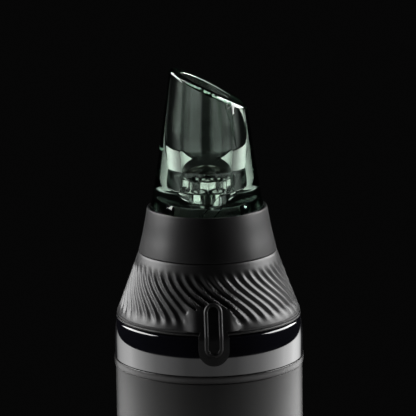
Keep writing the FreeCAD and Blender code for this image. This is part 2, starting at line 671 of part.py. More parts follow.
def tongue_face(rise):
    """Corners of the tongue's face, raised outwards, from its top to its tip."""
    return [(f"face_high_radius + {rise}", "face_high"), (f"face_knee_radius + {rise}", "face_knee"),
            (f"face_tip_radius + {rise}", "tongue_low - 0.2")]


def shave_front(body, rise):
    """Cut away all that stands out beyond the tongue's raised face."""
    beyond = "face_tip_radius + 3"
    face = tongue_face(rise)
    region = face + [(beyond, "tongue_low - 0.2"), (beyond, "tongue_high + 2"),
                     (f"face_high_radius + {rise} - 0.6", "tongue_high + 2")]
    return cut_checked(body, lambda: revolve(body, outline(body, region), "Groove"))


def shave_back(body):
    """Cut the back of the tongue round, so that it clears the band under it."""
    region = [("neck_radius", "tongue_low - 1"), ("tongue_back", "tongue_low - 1"),
              ("tongue_back", "cone_low - 0.05"), ("neck_radius", "cone_low - 0.05")]
    return cut_checked(body, lambda: revolve(body, outline(body, region), "Groove"))


def tongue_pad(body, half, low, high, start):
    """A slot-shaped block that stands out to the front."""
    return extrude(body, pill(body, half, low, high, offset=start), f"face_tip_radius + 1.5 - {start}")


def make_grip_cone():
    """The cone, then its tongue, then the bead round the insert's pocket."""
    shelf = "cone_top - cone_wall"
    bore = "neck_radius + running_gap"
    slope = "(cone_radius - cone_top_radius) / (cone_top - cone_low - cone_rim)"
    body = turned("grip_cone", [
        ("cone_radius - cone_wall", "cone_low + cone_rim"), ("cone_radius - cone_wall", "cone_low"),
        ("cone_radius - 0.08", "cone_low"),
        ("cone_radius", "cone_low + cone_rim"), ("cone_top_radius", "cone_top"), (bore, "cone_top"),
        (bore, shelf), (f"cone_top_radius - cone_wall + cone_wall * {slope}", shelf)])
    tongue_pad(body, "tongue_half", "tongue_low", "tongue_high", "tongue_root")
    shave_front(body, "0")
    tongue_pad(body, "bead_half", "bead_low", "bead_high", "bead_root")
    shave_front(body, "bead_rise")
    shave_back(body)
    pocket = pill(body, "insert_half + 0.02", "insert_low - 0.02", "insert_high + 0.02",
                  offset="face_tip_radius + 2")
    cut_checked(body, lambda: extrude(body, pocket, "face_tip_radius + 2 - insert_back", "Pocket"))


def make_index_insert():
    body = new_body("index_insert")
    start = "insert_back + 0.05"
    extrude(body, pill(body, "insert_half", "insert_low", "insert_high", offset=start),
            "face_tip_radius + 1 - insert_back")
    shave_front(body, "insert_rise")
    shave_back(body)


def make_switch_cam():
    slope = "(cone_radius - cone_top_radius) / (cone_top - cone_low - cone_rim)"
    wall = "cone_radius - cone_wall - 0.3"
    body = turned("switch_cam", [
        ("neck_radius + running_gap", "cam_low"),
        (f"{wall} - (cam_low - cone_low - cone_rim) * {slope}", "cam_low"),
        (f"{wall} - (cam_high - cone_low - cone_rim) * {slope}", "cam_high"),
        ("neck_radius + running_gap", "cam_high")])
    slot = outline(body, [("slot_inner", "cam_low - 1"), ("slot_outer", "cam_low - 1"),
                          ("slot_outer", "cam_high + 1"), ("slot_inner", "cam_high + 1")])
    cut_checked(body, lambda: revolve(body, slot, "Groove", angle="cam_slot_angle", both_ways=True))
    lobe = outline(body, [("lobe_inner", "lobe_low"), ("lobe_outer", "lobe_low"),
                          ("lobe_outer", "cam_low + 0.2"), ("lobe_inner", "cam_low + 0.2")])
    revolve(body, lobe, angle="lobe_angle", both_ways=True)


def make_switch_stops():
    """The stop pin, the sprung detent and the two switch leaves, all standing on the shoulder."""
    pin = bar("stop_pin", "pin_radius", "shoulder_top + 0.02", "pin_top", "pin_offset_x", "pin_offset_y")
    parts["stop_pin"] = pin
    guide_outer = bar("guide_outer", "ball_radius + 0.5", "shoulder_top + 0.02",
                      "shoulder_top + guide_height", y="ball_place")
    guide_bore = bar("guide_bore", "ball_radius + 0.06", "shoulder_top - 1", "cam_low", y="ball_place")
    parts["detent_guide"] = subtract("detent_guide", guide_outer, guide_bore)
    ball = doc.addObject("Part::Sphere", "detent_ball")
    bind(ball, Radius="ball_radius")
    ball.setExpression(".Placement.Base.y", bound("ball_place"))
    ball.setExpression(".Placement.Base.z", bound("cam_low - ball_radius - 0.05"))
    parts["detent_ball"] = ball
    coil("detent_spring", "0.75", "0.13", "0.6", "shoulder_top + 0.2", "cam_low - 2 * ball_radius - 0.25",
         y="ball_place")
    leaves = []
    for degrees in (50, 56):
        leaf = block(f"leaf_{degrees}", ("1.5", "0.25", "leaf_top - shoulder_top - 0.02"),
                     ("neck_radius + 0.35", "0", "shoulder_top + 0.02"))
        turn_about_axis_later(leaf, degrees)
        leaves.append(leaf)
    group("switch_leaves", leaves)


# ---------------------------------------------------------------- drive

def square_outline(body, half, offset):
    return outline(body, [(f"-{half}", f"-{half}"), (half, f"-{half}"), (half, half), (f"-{half}", half)],
                   plane="XY_Plane", offset=offset)


def make_drive():
    coupling = turned("drive_coupling", [
        ("shaft_radius", "coupling_low"), ("coupling_radius", "coupling_low"),
        ("coupling_radius", "coupling_high"), ("0", "coupling_high"), ("0", "shaft_high"),
        ("shaft_radius", "shaft_high")])
    socket = square_outline(coupling, "socket_half", "coupling_high")
    cut_checked(coupling, lambda: extrude(coupling, socket, "coupling_high - socket_floor", "Pocket"))
    shaft = turned("drive_shaft", [("0", "square_high - 0.5"), ("drive_radius", "square_high - 0.5"),
                                   ("drive_radius", "drive_high"), ("0", "drive_high")])
    extrude(shaft, square_outline(shaft, "square_half", "square_low"), "square_high - square_low")
    turned("drive_bush", [
        ("drive_radius + shaft_gap", "bush_low"), ("head_bore - 0.03", "bush_low"),
        ("head_bore - 0.03", "bush_high"), ("drive_radius + shaft_gap", "bush_high")])
    coil("cutter_spring", "1.8", "0.18", "0.8", "bush_high + 0.25", "blade_low - 0.25")


def make_rotary_cutter():
    body = turned("rotary_cutter", [
        ("drive_radius", "blade_low"), ("blade_radius", "blade_low"), ("blade_radius", "blade_foot"),
        ("drive_radius + 0.5", "blade_foot"), ("drive_radius + 0.5", "drive_high"),
        ("drive_radius", "drive_high")])
    root, reach, sunk = "drive_radius + 0.1", "blade_radius - 0.05", "blade_foot - 0.2"
    blade = outline(body, [(root, sunk), (reach, sunk), (reach, "blade_top"), (root, "blade_top")])
    pad = extrude(body, blade, "blade_thick", symmetric=True)
    repeat(body, [pad], "blade_count")


# ---------------------------------------------------------------- head

def make_head_base():
    spigot = "neck_bore - running_gap"
    turned("head_base", [
        ("head_bore", "head_low"), (spigot, "head_low"), (spigot, "collar_low"),
        ("collar_bore - 0.02", "collar_low"), ("collar_bore - 0.02", "seat_top"), ("boss_out", "seat_top"),
        ("boss_out", "boss_top - 0.2"), ("boss_out - 0.2", "boss_top"), ("flange_radius + 0.03", "boss_top"),
        ("flange_radius + 0.03", "flange_low"), ("head_bore", "flange_low")])


def make_collar():
    turned("collar", [("collar_bore", "collar_low"), ("cone_top_radius", "collar_low"),
                      ("collar_top_radius", "collar_top"), ("collar_bore", "collar_top")])


def make_cutter_guard():
    inner = "guard_radius - guard_wall"
    body = turned("cutter_guard", [
        (inner, "flange_low + 0.02"), ("flange_radius", "flange_low + 0.02"), ("flange_radius", "boss_top"),
        ("guard_radius", "boss_top"), ("guard_radius", "guard_shoulder"),
        ("guard_radius - 0.25", "guard_shoulder + 0.55"), ("guard_radius - 0.9", "guard_top - 0.25"),
        ("guard_radius - 1.8", "guard_top - 0.06"), ("0", "guard_top"), ("0", "guard_top - guard_wall"),
        ("guard_radius - 1.9", "guard_top - guard_wall - 0.06"),
        (inner + " - 0.6", "guard_top - guard_wall - 0.3"), (inner, "guard_shoulder")])
    slot = outline(body, [("guard_radius * 0.35", "guard_slot_low"), ("guard_radius + 1", "guard_slot_low"),
                          ("guard_radius + 1", "guard_top + 1"), ("guard_radius * 0.35", "guard_top + 1")])
    cut = cut_checked(body, lambda: extrude(body, slot, "guard_slot_width", "Pocket", symmetric=True))
    repeat(body, [cut], "guard_slots")


# ---------------------------------------------------------------- clear cap

def make_clear_cap():
    """A thick flared tube with a waisted bore, a web over the metal boss and a slanted open mouth."""
    body = turned("clear_cap", [
        ("cap_socket", "cap_low"), ("cap_foot_radius", "cap_low"), ("cap_foot_radius", "cap_seal_low"),
        ("cap_seal_floor", "cap_seal_low"), ("cap_seal_floor", "cap_seal_high"),
        ("cap_foot_radius", "cap_seal_high"), ("cap_foot_radius", "cap_foot_top"),
        ("cap_waist_radius", "cap_waist"), ("cap_side_radius", "cap_side"),
        ("cap_blank_radius", "cap_blank_top"), ("bore_mouth_radius", "cap_blank_top"),
        ("bore_belly_radius", "bore_belly"), ("bore_waist_radius", "bore_waist"),
        ("bore_floor_radius", "cap_web_high"), ("cap_hole", "cap_web_high"),
        ("cap_hole", "cap_web_low"), ("cap_socket", "cap_web_low")])
    fall = "(mouth_high - mouth_low) / 2 / mouth_half * cut_reach"
    middle = "(mouth_high + mouth_low) / 2"
    above = outline(body, [("-cut_reach", f"{middle} + {fall}"), ("cut_reach", f"{middle} - {fall}"),
                           ("cut_reach", "cap_blank_top + 3"), ("-cut_reach", "cap_blank_top + 3")])
    cut_checked(body, lambda: extrude(body, above, "4 * cut_reach", "Pocket", symmetric=True))
    left, right = "track_start", "track_start + track_run"
    track = outline(body, [(left, "track_low"), (f"{left} + track_width", "track_low"),
                           (f"{right} + track_width", "track_high"), (right, "track_high")],
                    offset="cap_foot_radius + 1")
    cut_checked(body, lambda: extrude(body, track, "cap_foot_radius + 1 - track_depth_radius", "Pocket"))


def make_centring_crown():
    """A fluted metal ring standing on the web, which centres the cap over the cutter guard."""
    low = "cap_web_high + 0.05"
    body = turned("centring_crown", [
        ("crown_bore", low), ("crown_radius", low), ("crown_radius", "crown_shoulder"),
        ("crown_brow_radius", "crown_top"), ("crown_bore", "crown_top")])
    rim = "crown_radius + 0.02"
    flute = outline(body, [(f"{rim} - crown_flute_depth", "0"), (rim, "-crown_flute_half"),
                           (rim, "crown_flute_half")], plane="XY_Plane", offset="crown_top + 1")
    cut = cut_checked(body, lambda: extrude(body, flute, "crown_top + 2 - cap_web_high", "Pocket"))
    repeat(body, [cut], "crown_flutes")


# ---------------------------------------------------------------- build, check and export

def make_all():
    make_body_tube()
    make_tail_cap()
    make_ring_seal("tail_seal", "seal_floor", "tube_radius - tube_wall", "seal_low", "seal_high")
    make_battery_pieces()
    make_contacts()
    make_motor_stator()
    make_motor_rotor()
    make_motor_mount()
    make_neck_frame()
    make_neck_screws()
    make_rings()
    make_grip_cone()
    make_index_insert()
    make_switch_cam()
    make_switch_stops()
    make_drive()
    make_rotary_cutter()
    make_head_base()
    make_collar()
    make_cutter_guard()
    make_ring_seal("cap_seal", "cap_seal_floor", "collar_bore", "cap_seal_low", "cap_seal_high")
    make_clear_cap()
    make_centring_crown()


def find_faults():
    """Names of objects that failed, and of sub-parts whose shape is empty or broken."""
    faults = []
    for item in doc.Objects:
        if "Invalid" in item.State or "Error" in item.State:
            faults.append(f"{item.Name}: {item.State}")
    for label, item in parts.items():
        if item.Shape.isNull() or not item.Shape.isValid() or not item.Shape.Solids:
            faults.append(f"{label}: no valid solid")
    return faults


def export_parts():
    os.makedirs("parts", exist_ok=True)
    for label, item in parts.items():
        item.Shape.exportStep(f"parts/{label}.step")
        box = item.Shape.BoundBox
        print(f"{label:18s} solids {len(item.Shape.Solids)}  volume {item.Shape.Volume:9.2f}"
              f"  z {box.ZMin:7.2f} to {box.ZMax:7.2f}  half width {max(box.XMax, -box.XMin):6.2f}")


dims = make_sheet()
make_all()
doc.recompute()
problems = find_faults()
if problems:
    sys.exit("failed: " + "; ".join(problems))
export_parts()
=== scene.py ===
"""Small hair trimmer with a clear slanted cover: its finished pieces, finishes and studio."""

import json
import math

import bpy
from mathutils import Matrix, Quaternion, Vector

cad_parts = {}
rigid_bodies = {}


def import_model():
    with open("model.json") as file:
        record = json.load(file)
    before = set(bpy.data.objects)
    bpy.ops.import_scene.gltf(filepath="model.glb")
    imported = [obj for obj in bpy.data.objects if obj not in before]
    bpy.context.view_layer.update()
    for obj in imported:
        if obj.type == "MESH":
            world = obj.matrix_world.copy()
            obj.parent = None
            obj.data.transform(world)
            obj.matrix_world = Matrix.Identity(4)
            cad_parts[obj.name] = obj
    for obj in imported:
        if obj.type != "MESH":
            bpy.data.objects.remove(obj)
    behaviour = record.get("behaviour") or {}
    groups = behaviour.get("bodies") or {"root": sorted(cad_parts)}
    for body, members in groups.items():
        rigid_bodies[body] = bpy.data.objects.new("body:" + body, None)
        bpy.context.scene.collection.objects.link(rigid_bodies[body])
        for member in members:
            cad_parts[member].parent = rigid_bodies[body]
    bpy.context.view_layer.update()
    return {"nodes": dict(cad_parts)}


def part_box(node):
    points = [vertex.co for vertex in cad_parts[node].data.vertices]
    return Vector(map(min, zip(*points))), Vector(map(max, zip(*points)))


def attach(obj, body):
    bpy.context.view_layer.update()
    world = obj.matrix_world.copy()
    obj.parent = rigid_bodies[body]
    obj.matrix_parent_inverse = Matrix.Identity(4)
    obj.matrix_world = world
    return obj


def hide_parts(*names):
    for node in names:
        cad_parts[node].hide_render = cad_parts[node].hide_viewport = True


bl_info = {
    "name": "Clear-nosed trimmer",
    "version": (1, 0, 0),
    "blender": (4, 5, 0),
    "location": "View3D > Sidebar > Trimmer",
    "description": "Models the finished pieces of a small hair trimmer around its designed parts",
    "category": "Add Mesh",
}

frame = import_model()

MM = 0.001
MERGE = 0.002 * MM  # vertices nearer than this become one
POLE = 0.0001  # radius in millimetres of a ring that closes to a point
SEGMENTS = 288  # round a turned piece
SMOOTH_ANGLE = 32.0
MIX_FIRST, MIX_SECOND, MIX_RESULT = 6, 7, 2  # colour sockets of a Mix node


def foot_of(node):
    """Height of a node's lowest point."""
    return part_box(node)[0].z


def head_of(node):
    """Height of a node's highest point."""
    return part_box(node)[1].z


def radius_of(node):
    """Largest radius of a node turned about the Z axis."""
    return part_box(node)[1].x


def length(name, description, default):
    """A length that the user can change."""
    return bpy.props.FloatProperty(
        name=name, description=description, default=default, unit="LENGTH", precision=5
    )


def colour(name, description, default):
    """A linear colour that the user can change."""
    return bpy.props.FloatVectorProperty(
        name=name, description=description, default=default, subtype="COLOR",
        size=3, min=0.0, max=1.0,
    )


class TrimmerSizes(bpy.types.PropertyGroup):
    """Sizes of the finished pieces that the designed parts leave open."""

    tube_wall: length("Tube wall", "Wall of the handle tube", 1.0 * MM)
    edge_round: length("Edge round", "Soft edge on turned metal", 0.12 * MM)
    rib_count: bpy.props.IntProperty(
        name="Ribs", description="Finger ribs round the switch ring", default=48, min=1
    )
    rib_depth: length("Rib depth", "Depth of the flutes between two ribs", 0.27 * MM)
    rib_turn: bpy.props.FloatProperty(
        name="Rib turn", description="How far a rib leans over from its top to its foot",
        default=math.radians(30.0), subtype="ANGLE",
    )
    rib_head: length("Rib head", "Height where the ribs begin", 111.5 * MM)
    rib_foot: length("Rib foot", "Height where the ribs end", 102.8 * MM)
    bead_wire: length("Bead thickness", "Radius of the raised rim round the marker", 0.36 * MM)
    marker_half: length("Marker half width", "Half the width of the rim's centre line", 1.13 * MM)
    mouth_high: length("Mouth, high side", "Height of the cut on the left", 142.0 * MM)
    mouth_low: length("Mouth, low side", "Height of the cut on the right", 135.9 * MM)
    mouth_half: length("Mouth half width", "From the axis to both of those", 6.0 * MM)
    mouth_round: length("Mouth round", "Fire-polished edge of the cover's mouth", 0.65 * MM)
    crown_flutes: bpy.props.IntProperty(
        name="Crown flutes", description="Flutes round the centring crown", default=10, min=3
    )
    flute_depth: length("Flute depth", "Depth of one flute of the crown", 0.62 * MM)
    guard_slots: bpy.props.IntProperty(
        name="Guard slots", description="Slots round the cutter guard", default=12, min=2
    )
    guard_slot: length("Slot width", "Width of one slot in the cutter guard", 0.5 * MM)


class TrimmerColours(bpy.types.PropertyGroup):
    """Main colours of the finishes."""

    tube: colour("Tube", "Satin coat of the handle tube", (0.026, 0.0255, 0.025))
    grip: colour("Grip", "Moulded grip plastic", (0.0055, 0.0052, 0.0056))
    band: colour("Band", "Polished band below the switch ring", (0.004, 0.004, 0.006))
    glass: colour("Cover", "Clear cover with a green cast", (0.88, 0.96, 0.91))
    steel: colour("Steel", "Ground steel of the cutter", (0.8, 0.79, 0.76))
    floor: colour("Floor", "Pale studio floor", (0.72, 0.71, 0.69))


class TrimmerStudio(bpy.types.PropertyGroup):
    """Camera, floor and lights."""

    aim_height: length("Aim height", "Height that the camera looks at", 119.0 * MM)
    distance: length("Distance", "Camera distance", 478.0 * MM)
    elevation: bpy.props.FloatProperty(
        name="Elevation", description="Camera height above the horizon",
        default=math.radians(12.2), subtype="ANGLE",
    )
    azimuth: bpy.props.FloatProperty(
        name="Azimuth", description="Camera turned round the object from the front",
        default=math.radians(-2.9), subtype="ANGLE",
    )
    roll: bpy.props.FloatProperty(
        name="Roll", description="Camera turned about its own view",
        default=math.radians(-0.76), subtype="ANGLE",
    )
    lens: bpy.props.FloatProperty(
        name="Lens", description="Focal length", default=259.6, unit="CAMERA"
    )
    shift: bpy.props.FloatProperty(
        name="Shift", description="Sideways shift of the lens", default=0.0021635, precision=5
    )
    floor_radius: length("Floor radius", "Radius of the pale floor", 0.28)
    side_power: bpy.props.FloatProperty(
        name="Side light", description="Power of each large side light", default=6.2,
        unit="POWER",
    )
    floor_power: bpy.props.FloatProperty(
        name="Floor light", description="Power of the light over the floor", default=0.75,
        unit="POWER",
    )
    side_angle: bpy.props.FloatProperty(
        name="Side angle", description="Degrees from the front to a side light", default=108.0
    )
    sweep_strength: bpy.props.FloatProperty(
        name="Low sweep", description="Strength of the low curved light", default=4.6
    )
    glass_strength: bpy.props.FloatProperty(
        name="Cover sweep", description="Strength of the lights behind the cover", default=1.25
    )


# --- modelling helpers -------------------------------------------------------------------


def pick(*pieces):
    """Leaves edit mode and selects only these objects; the last one is active."""
    if bpy.context.mode != "OBJECT":
        bpy.ops.object.mode_set(mode="OBJECT")
    bpy.ops.object.select_all(action="DESELECT")
    for piece in pieces:
        piece.select_set(True)
        bpy.context.view_layer.objects.active = piece


def name_piece(piece, name):
    """Gives an object and its mesh one name."""
    piece.name = name
    piece.data.name = name


def choose(piece, kind, test):
    """Enters edit mode with the vertices or edges that pass a test of their places."""
    pick(piece)
    bpy.ops.object.mode_set(mode="EDIT")
    bpy.ops.mesh.select_mode(type=kind)
    bpy.ops.mesh.select_all(action="DESELECT")
    bpy.ops.object.mode_set(mode="OBJECT")
    mesh = piece.data
    if kind == "VERT":
        for vertex in mesh.vertices:
            vertex.select = test(vertex.co)
    else:
        for edge in mesh.edges:
            edge.select = test(*(mesh.vertices[index].co for index in edge.vertices))
    bpy.ops.object.mode_set(mode="EDIT")


def settle(piece):
    """Merges doubles and points the faces outwards."""
    pick(piece)
    bpy.ops.object.mode_set(mode="EDIT")
    bpy.ops.mesh.select_all(action="SELECT")
    bpy.ops.mesh.remove_doubles(threshold=MERGE)
    bpy.ops.mesh.delete_loose()
    bpy.ops.mesh.select_all(action="SELECT")
    bpy.ops.mesh.normals_make_consistent(inside=False)
    bpy.ops.object.mode_set(mode="OBJECT")


def smooth(piece, angle=SMOOTH_ANGLE):
    """Shades a piece smooth, with edges sharper than the angle left crisp."""
    pick(piece)
    bpy.ops.object.shade_smooth_by_angle(angle=math.radians(angle))


def apply(piece, modifier):
    """Applies one modifier."""
    pick(piece)
    bpy.ops.object.modifier_apply(modifier=modifier.name)


def soften(corners, steps=4):
    """Rounds the (radius, height, round) corners of a closed outline, given in millimetres."""
    points = []
    for index, (radius, height, size) in enumerate(corners):
        corner = Vector((radius, height))
        if not size:
            points.append(corner * MM)
            continue
        before = Vector(corners[index - 1][:2])
        after = Vector(corners[(index + 1) % len(corners)][:2])
        start = corner + (before - corner).normalized() * size
        end = corner + (after - corner).normalized() * size
        for step in range(steps + 1):
            t = step / steps
            point = start * (1 - t) ** 2 + corner * 2 * t * (1 - t) + end * t ** 2
            points.append(point * MM)
    return points


def turn(name, outline, segments=SEGMENTS, closed=True):
    """Turns an outline of (radius, height) points about the Z axis, ring by ring.

    An outline that isn't closed gets a flat disc at both ends instead.
    """
    pick()
    radius, height = outline[0]
    bpy.ops.mesh.primitive_circle_add(vertices=segments, radius=radius, location=(0, 0, height))
    piece = bpy.context.object
    name_piece(piece, name)
    bpy.ops.object.transform_apply(location=True, rotation=False, scale=False)
    bpy.ops.object.mode_set(mode="EDIT")
    bpy.ops.mesh.select_mode(type="EDGE")
    bpy.ops.mesh.select_all(action="SELECT")
    if not closed:
        bpy.ops.mesh.edge_face_add()
        bpy.ops.mesh.select_mode(type="EDGE")
    rings = outline[1:] + outline[:1] if closed else outline[1:]
    for new_radius, new_height in rings:
        bpy.ops.mesh.extrude_edges_move(
            TRANSFORM_OT_translate={"value": (0, 0, new_height - height)}
        )
        grow = new_radius / radius
        bpy.ops.transform.resize(value=(grow, grow, 1), center_override=(0, 0, new_height))
        radius, height = new_radius, new_height
    if not closed:
        bpy.ops.mesh.edge_face_add()
    settle(piece)
    return piece


def pill_block(name, half, low, high, near, far, sides=64):
    """An upright pill outline, carried along Y from near to far."""
    pick()
    middle = low + half
    bpy.ops.mesh.primitive_cylinder_add(
        vertices=sides, radius=half, depth=far - near,
        location=(0, (near + far) / 2, middle), rotation=(math.pi / 2, 0, 0),
    )
    piece = bpy.context.object
    name_piece(piece, name)
    bpy.ops.object.transform_apply(location=True, rotation=True, scale=False)
    choose(piece, "VERT", lambda place: place.z > middle + MERGE)
    bpy.ops.transform.translate(value=(0, 0, high - low - 2 * half))
    settle(piece)
    return piece


def carve(piece, tool, operation="DIFFERENCE"):
    """Cuts a piece with a tool, which is used up."""
    modifier = piece.modifiers.new("carve", "BOOLEAN")
    modifier.operation = operation
    modifier.solver = "EXACT"
    modifier.object = tool
    apply(piece, modifier)
    bpy.data.objects.remove(tool)


def ease_edges(piece, size, segments, angle=50.0):
    """Rounds the edges that are sharper than an angle."""
    modifier = piece.modifiers.new("ease", "BEVEL")
    modifier.width = size
    modifier.segments = segments
    modifier.limit_method = "ANGLE"
    modifier.angle_limit = math.radians(angle)
    apply(piece, modifier)


def displace(piece, strength, weight_of):
    """Moves vertices along their normals by a strength times a weight found from their place."""
    group = piece.vertex_groups.new(name="weight")
    for vertex in piece.data.vertices:
        weight = weight_of(vertex.co)
        if weight > 0:
            group.add([vertex.index], min(weight, 1.0), "REPLACE")
    modifier = piece.modifiers.new("displace", "DISPLACE")
    modifier.vertex_group = group.name
    modifier.direction = "NORMAL"
    modifier.mid_level = 0.0
    modifier.strength = strength
    apply(piece, modifier)
    piece.vertex_groups.clear()


def ramp(value, start, end):
    """Goes smoothly from 0 at start to 1 at end."""
    t = max(0.0, min(1.0, (value - start) / (end - start)))
    return t * t * (3 - 2 * t)


def finish_piece(piece, material, body, slot, *nodes):
    """Gives a piece its finish, its body and the nodes that it stands for; the slot argument is
    not used.
    """
    piece.data.materials.clear()
    piece.data.materials.append(material)
    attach(piece, body)
    if nodes:
        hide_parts(*nodes)


# --- finishes ----------------------------------------------------------------------------


class Finish:
    """A procedural material under construction: one shader and patterns on Object coordinates."""

    def __init__(self, name, base, metallic=0.0, roughness=0.5, **settings):
        self.material = bpy.data.materials.new(name)
        self.material.use_nodes = True
        self.nodes = self.material.node_tree.nodes
        self.links = self.material.node_tree.links
        self.shader = self.nodes["Principled BSDF"]
        self.base = base
        self.shader.inputs["Base Color"].default_value = (*base, 1)
        self.shader.inputs["Metallic"].default_value = metallic
        self.shader.inputs["Roughness"].default_value = roughness
        for socket, value in settings.items():
            self.shader.inputs[socket.replace("_", " ")].default_value = value
        self.coordinates = self.nodes.new("ShaderNodeTexCoord").outputs["Object"]
        self.normal = None

    def stretch(self, x, y, z):
        """Object coordinates scaled along each axis."""
        mapping = self.nodes.new("ShaderNodeMapping")
        mapping.inputs["Scale"].default_value = (x, y, z)
        self.links.new(self.coordinates, mapping.inputs["Vector"])
        return mapping.outputs["Vector"]

    def wrap(self, around, along):
        """Coordinates that follow a turned surface: the angle about Z, and the height."""
        split = self.nodes.new("ShaderNodeSeparateXYZ")
        self.links.new(self.coordinates, split.inputs[0])
        angle = self.nodes.new("ShaderNodeMath")
        angle.operation = "ARCTAN2"
        self.links.new(split.outputs["X"], angle.inputs[0])
        self.links.new(split.outputs["Y"], angle.inputs[1])
        join = self.nodes.new("ShaderNodeCombineXYZ")
        sources = ((angle.outputs[0], around, "X"), (split.outputs["Z"], along, "Y"))
        for source, factor, target in sources:
            scale = self.nodes.new("ShaderNodeMath")
            scale.operation = "MULTIPLY"
            scale.inputs[1].default_value = factor
            self.links.new(source, scale.inputs[0])
            self.links.new(scale.outputs[0], join.inputs[target])
        return join.outputs[0]

    def noise(self, vector, scale, detail=3.0, rough=0.55):
        """Noise on some coordinates."""
        node = self.nodes.new("ShaderNodeTexNoise")
        node.inputs["Scale"].default_value = scale
        node.inputs["Detail"].default_value = detail
        node.inputs["Roughness"].default_value = rough
        self.links.new(vector, node.inputs["Vector"])
        return node.outputs["Fac"]

    def cells(self, vector, scale):
        """Small cells, for moulded grain."""
        node = self.nodes.new("ShaderNodeTexVoronoi")
        node.inputs["Scale"].default_value = scale
        self.links.new(vector, node.inputs["Vector"])
        return node.outputs["Distance"]

    def spread(self, value, low, high, start=0.3, end=0.7):
        """A pattern value carried to a range."""
        node = self.nodes.new("ShaderNodeMapRange")
        node.inputs["From Min"].default_value = start
        node.inputs["From Max"].default_value = end
        node.inputs["To Min"].default_value = low
        node.inputs["To Max"].default_value = high
        self.links.new(value, node.inputs["Value"])
        return node.outputs["Result"]

    def vary_roughness(self, value, low, high):
        """Roughness that follows a pattern."""
        self.links.new(self.spread(value, low, high), self.shader.inputs["Roughness"])

    def blend(self, share, first, second):
        """Base colour that goes from a first to a second colour with a share."""
        node = self.nodes.new("ShaderNodeMix")
        node.data_type = "RGBA"
        node.inputs[MIX_FIRST].default_value = (*first, 1)
        node.inputs[MIX_SECOND].default_value = (*second, 1)
        self.links.new(share, node.inputs["Factor"])
        self.links.new(node.outputs[MIX_RESULT], self.shader.inputs["Base Color"])

    def vary_colour(self, value, darker, lighter):
        """Base colour between two shares of itself."""
        ends = ([min(1.0, part * gain) for part in self.base] for gain in (darker, lighter))
        self.blend(self.spread(value, 0.0, 1.0), *ends)

    def relief(self, value, strength, depth):
        """Fine relief that follows a pattern; a second call adds to the first."""
        bump = self.nodes.new("ShaderNodeBump")
        bump.inputs["Strength"].default_value = strength
        bump.inputs["Distance"].default_value = depth
        self.links.new(value, bump.inputs["Height"])
        if self.normal:
            self.links.new(self.normal, bump.inputs["Normal"])
        self.normal = bump.outputs["Normal"]
        self.links.new(self.normal, self.shader.inputs["Normal"])


def satin_metal(name, base, metallic=0.15, rough=(0.275, 0.3)):
    """Satin coat over turned metal: fine rings, blasted grain and faint handling marks."""
    finish = Finish(name, base, metallic, sum(rough) / 2)
    rings = finish.noise(finish.stretch(60, 60, 9000), 1.0, 2.0)
    grain = finish.noise(finish.coordinates, 9000, 2.0)
    marks = finish.noise(finish.coordinates, 60, 2.0)
    finish.vary_roughness(marks, *rough)
    finish.vary_colour(grain, 0.9, 1.1)
    finish.relief(rings, 0.10, 0.02 * MM)
    finish.relief(grain, 0.12, 0.02 * MM)
    return finish.material


def moulded(name, base, rough=(0.38, 0.46), grain_scale=5200, depth=0.25):
    """Matte moulded plastic with a fine spark-eroded grain."""
    finish = Finish(name, base, 0.0, sum(rough) / 2)
    grain = finish.noise(finish.coordinates, grain_scale, 2.0, 0.6)
    pores = finish.cells(finish.coordinates, grain_scale * 0.7)
    cloud = finish.noise(finish.coordinates, 160, 4.0)
    finish.vary_roughness(cloud, *rough)
    finish.vary_colour(cloud, 0.88, 1.14)
    finish.relief(grain, depth, 0.02 * MM)
    finish.relief(pores, depth * 0.4, 0.01 * MM)
    return finish.material


def brushed(name, base, around=900.0, along=40.0, rough=(0.22, 0.36), metallic=1.0):
    """Metal brushed upwards, its lines spread round the axis."""
    finish = Finish(name, base, metallic, sum(rough) / 2)
    lines = finish.noise(finish.wrap(around, along), 1.0, 3.0, 0.6)
    stain = finish.noise(finish.coordinates, 260, 3.0)
    finish.vary_roughness(lines, *rough)
    finish.vary_colour(stain, 0.88, 1.08)
    finish.relief(lines, 0.15, 0.02 * MM)
    return finish.material


def polished_band(name, base):
    """Deep black polish with faint rub marks."""
    finish = Finish(name, base, 0.0, 0.05, Coat_Weight=0.3, Coat_Roughness=0.02)
    smear = finish.noise(finish.stretch(1, 1, 2.5), 90, 5.0, 0.6)
    ripple = finish.noise(finish.coordinates, 45, 2.0)
    finish.vary_roughness(smear, 0.03, 0.075)
    finish.vary_colour(smear, 0.8, 1.3)
    finish.relief(ripple, 0.06, 0.05 * MM)
    return finish.material


def clear_glass(name, base):
    """Thick clear cover with a green cast, slightly wavy where it was drawn."""
    finish = Finish(name, base, 0.0, 0.0, Transmission_Weight=1.0, IOR=1.49)
    wave = finish.noise(finish.stretch(1, 1, 0.35), 140, 2.0)
    haze = finish.noise(finish.coordinates, 500, 4.0)
    finish.vary_roughness(haze, 0.0, 0.018)
    finish.relief(wave, 0.05, 0.08 * MM)
    # Inside, the depth of the wall deepens the green.
    absorb = finish.nodes.new("ShaderNodeVolumeAbsorption")
    absorb.inputs["Color"].default_value = (0.62, 0.92, 0.76, 1)
    absorb.inputs["Density"].default_value = 45.0
    finish.links.new(absorb.outputs[0], finish.nodes["Material Output"].inputs["Volume"])
    return finish.material


def rubber(name, base):
    """Soft seal rubber with a dusty bloom."""
    finish = Finish(name, base, 0.0, 0.7, Sheen_Weight=0.15)
    bloom = finish.noise(finish.coordinates, 900, 4.0)
    finish.vary_colour(bloom, 0.8, 1.5)
    finish.vary_roughness(bloom, 0.6, 0.82)
    finish.relief(bloom, 0.2, 0.02 * MM)
    return finish.material


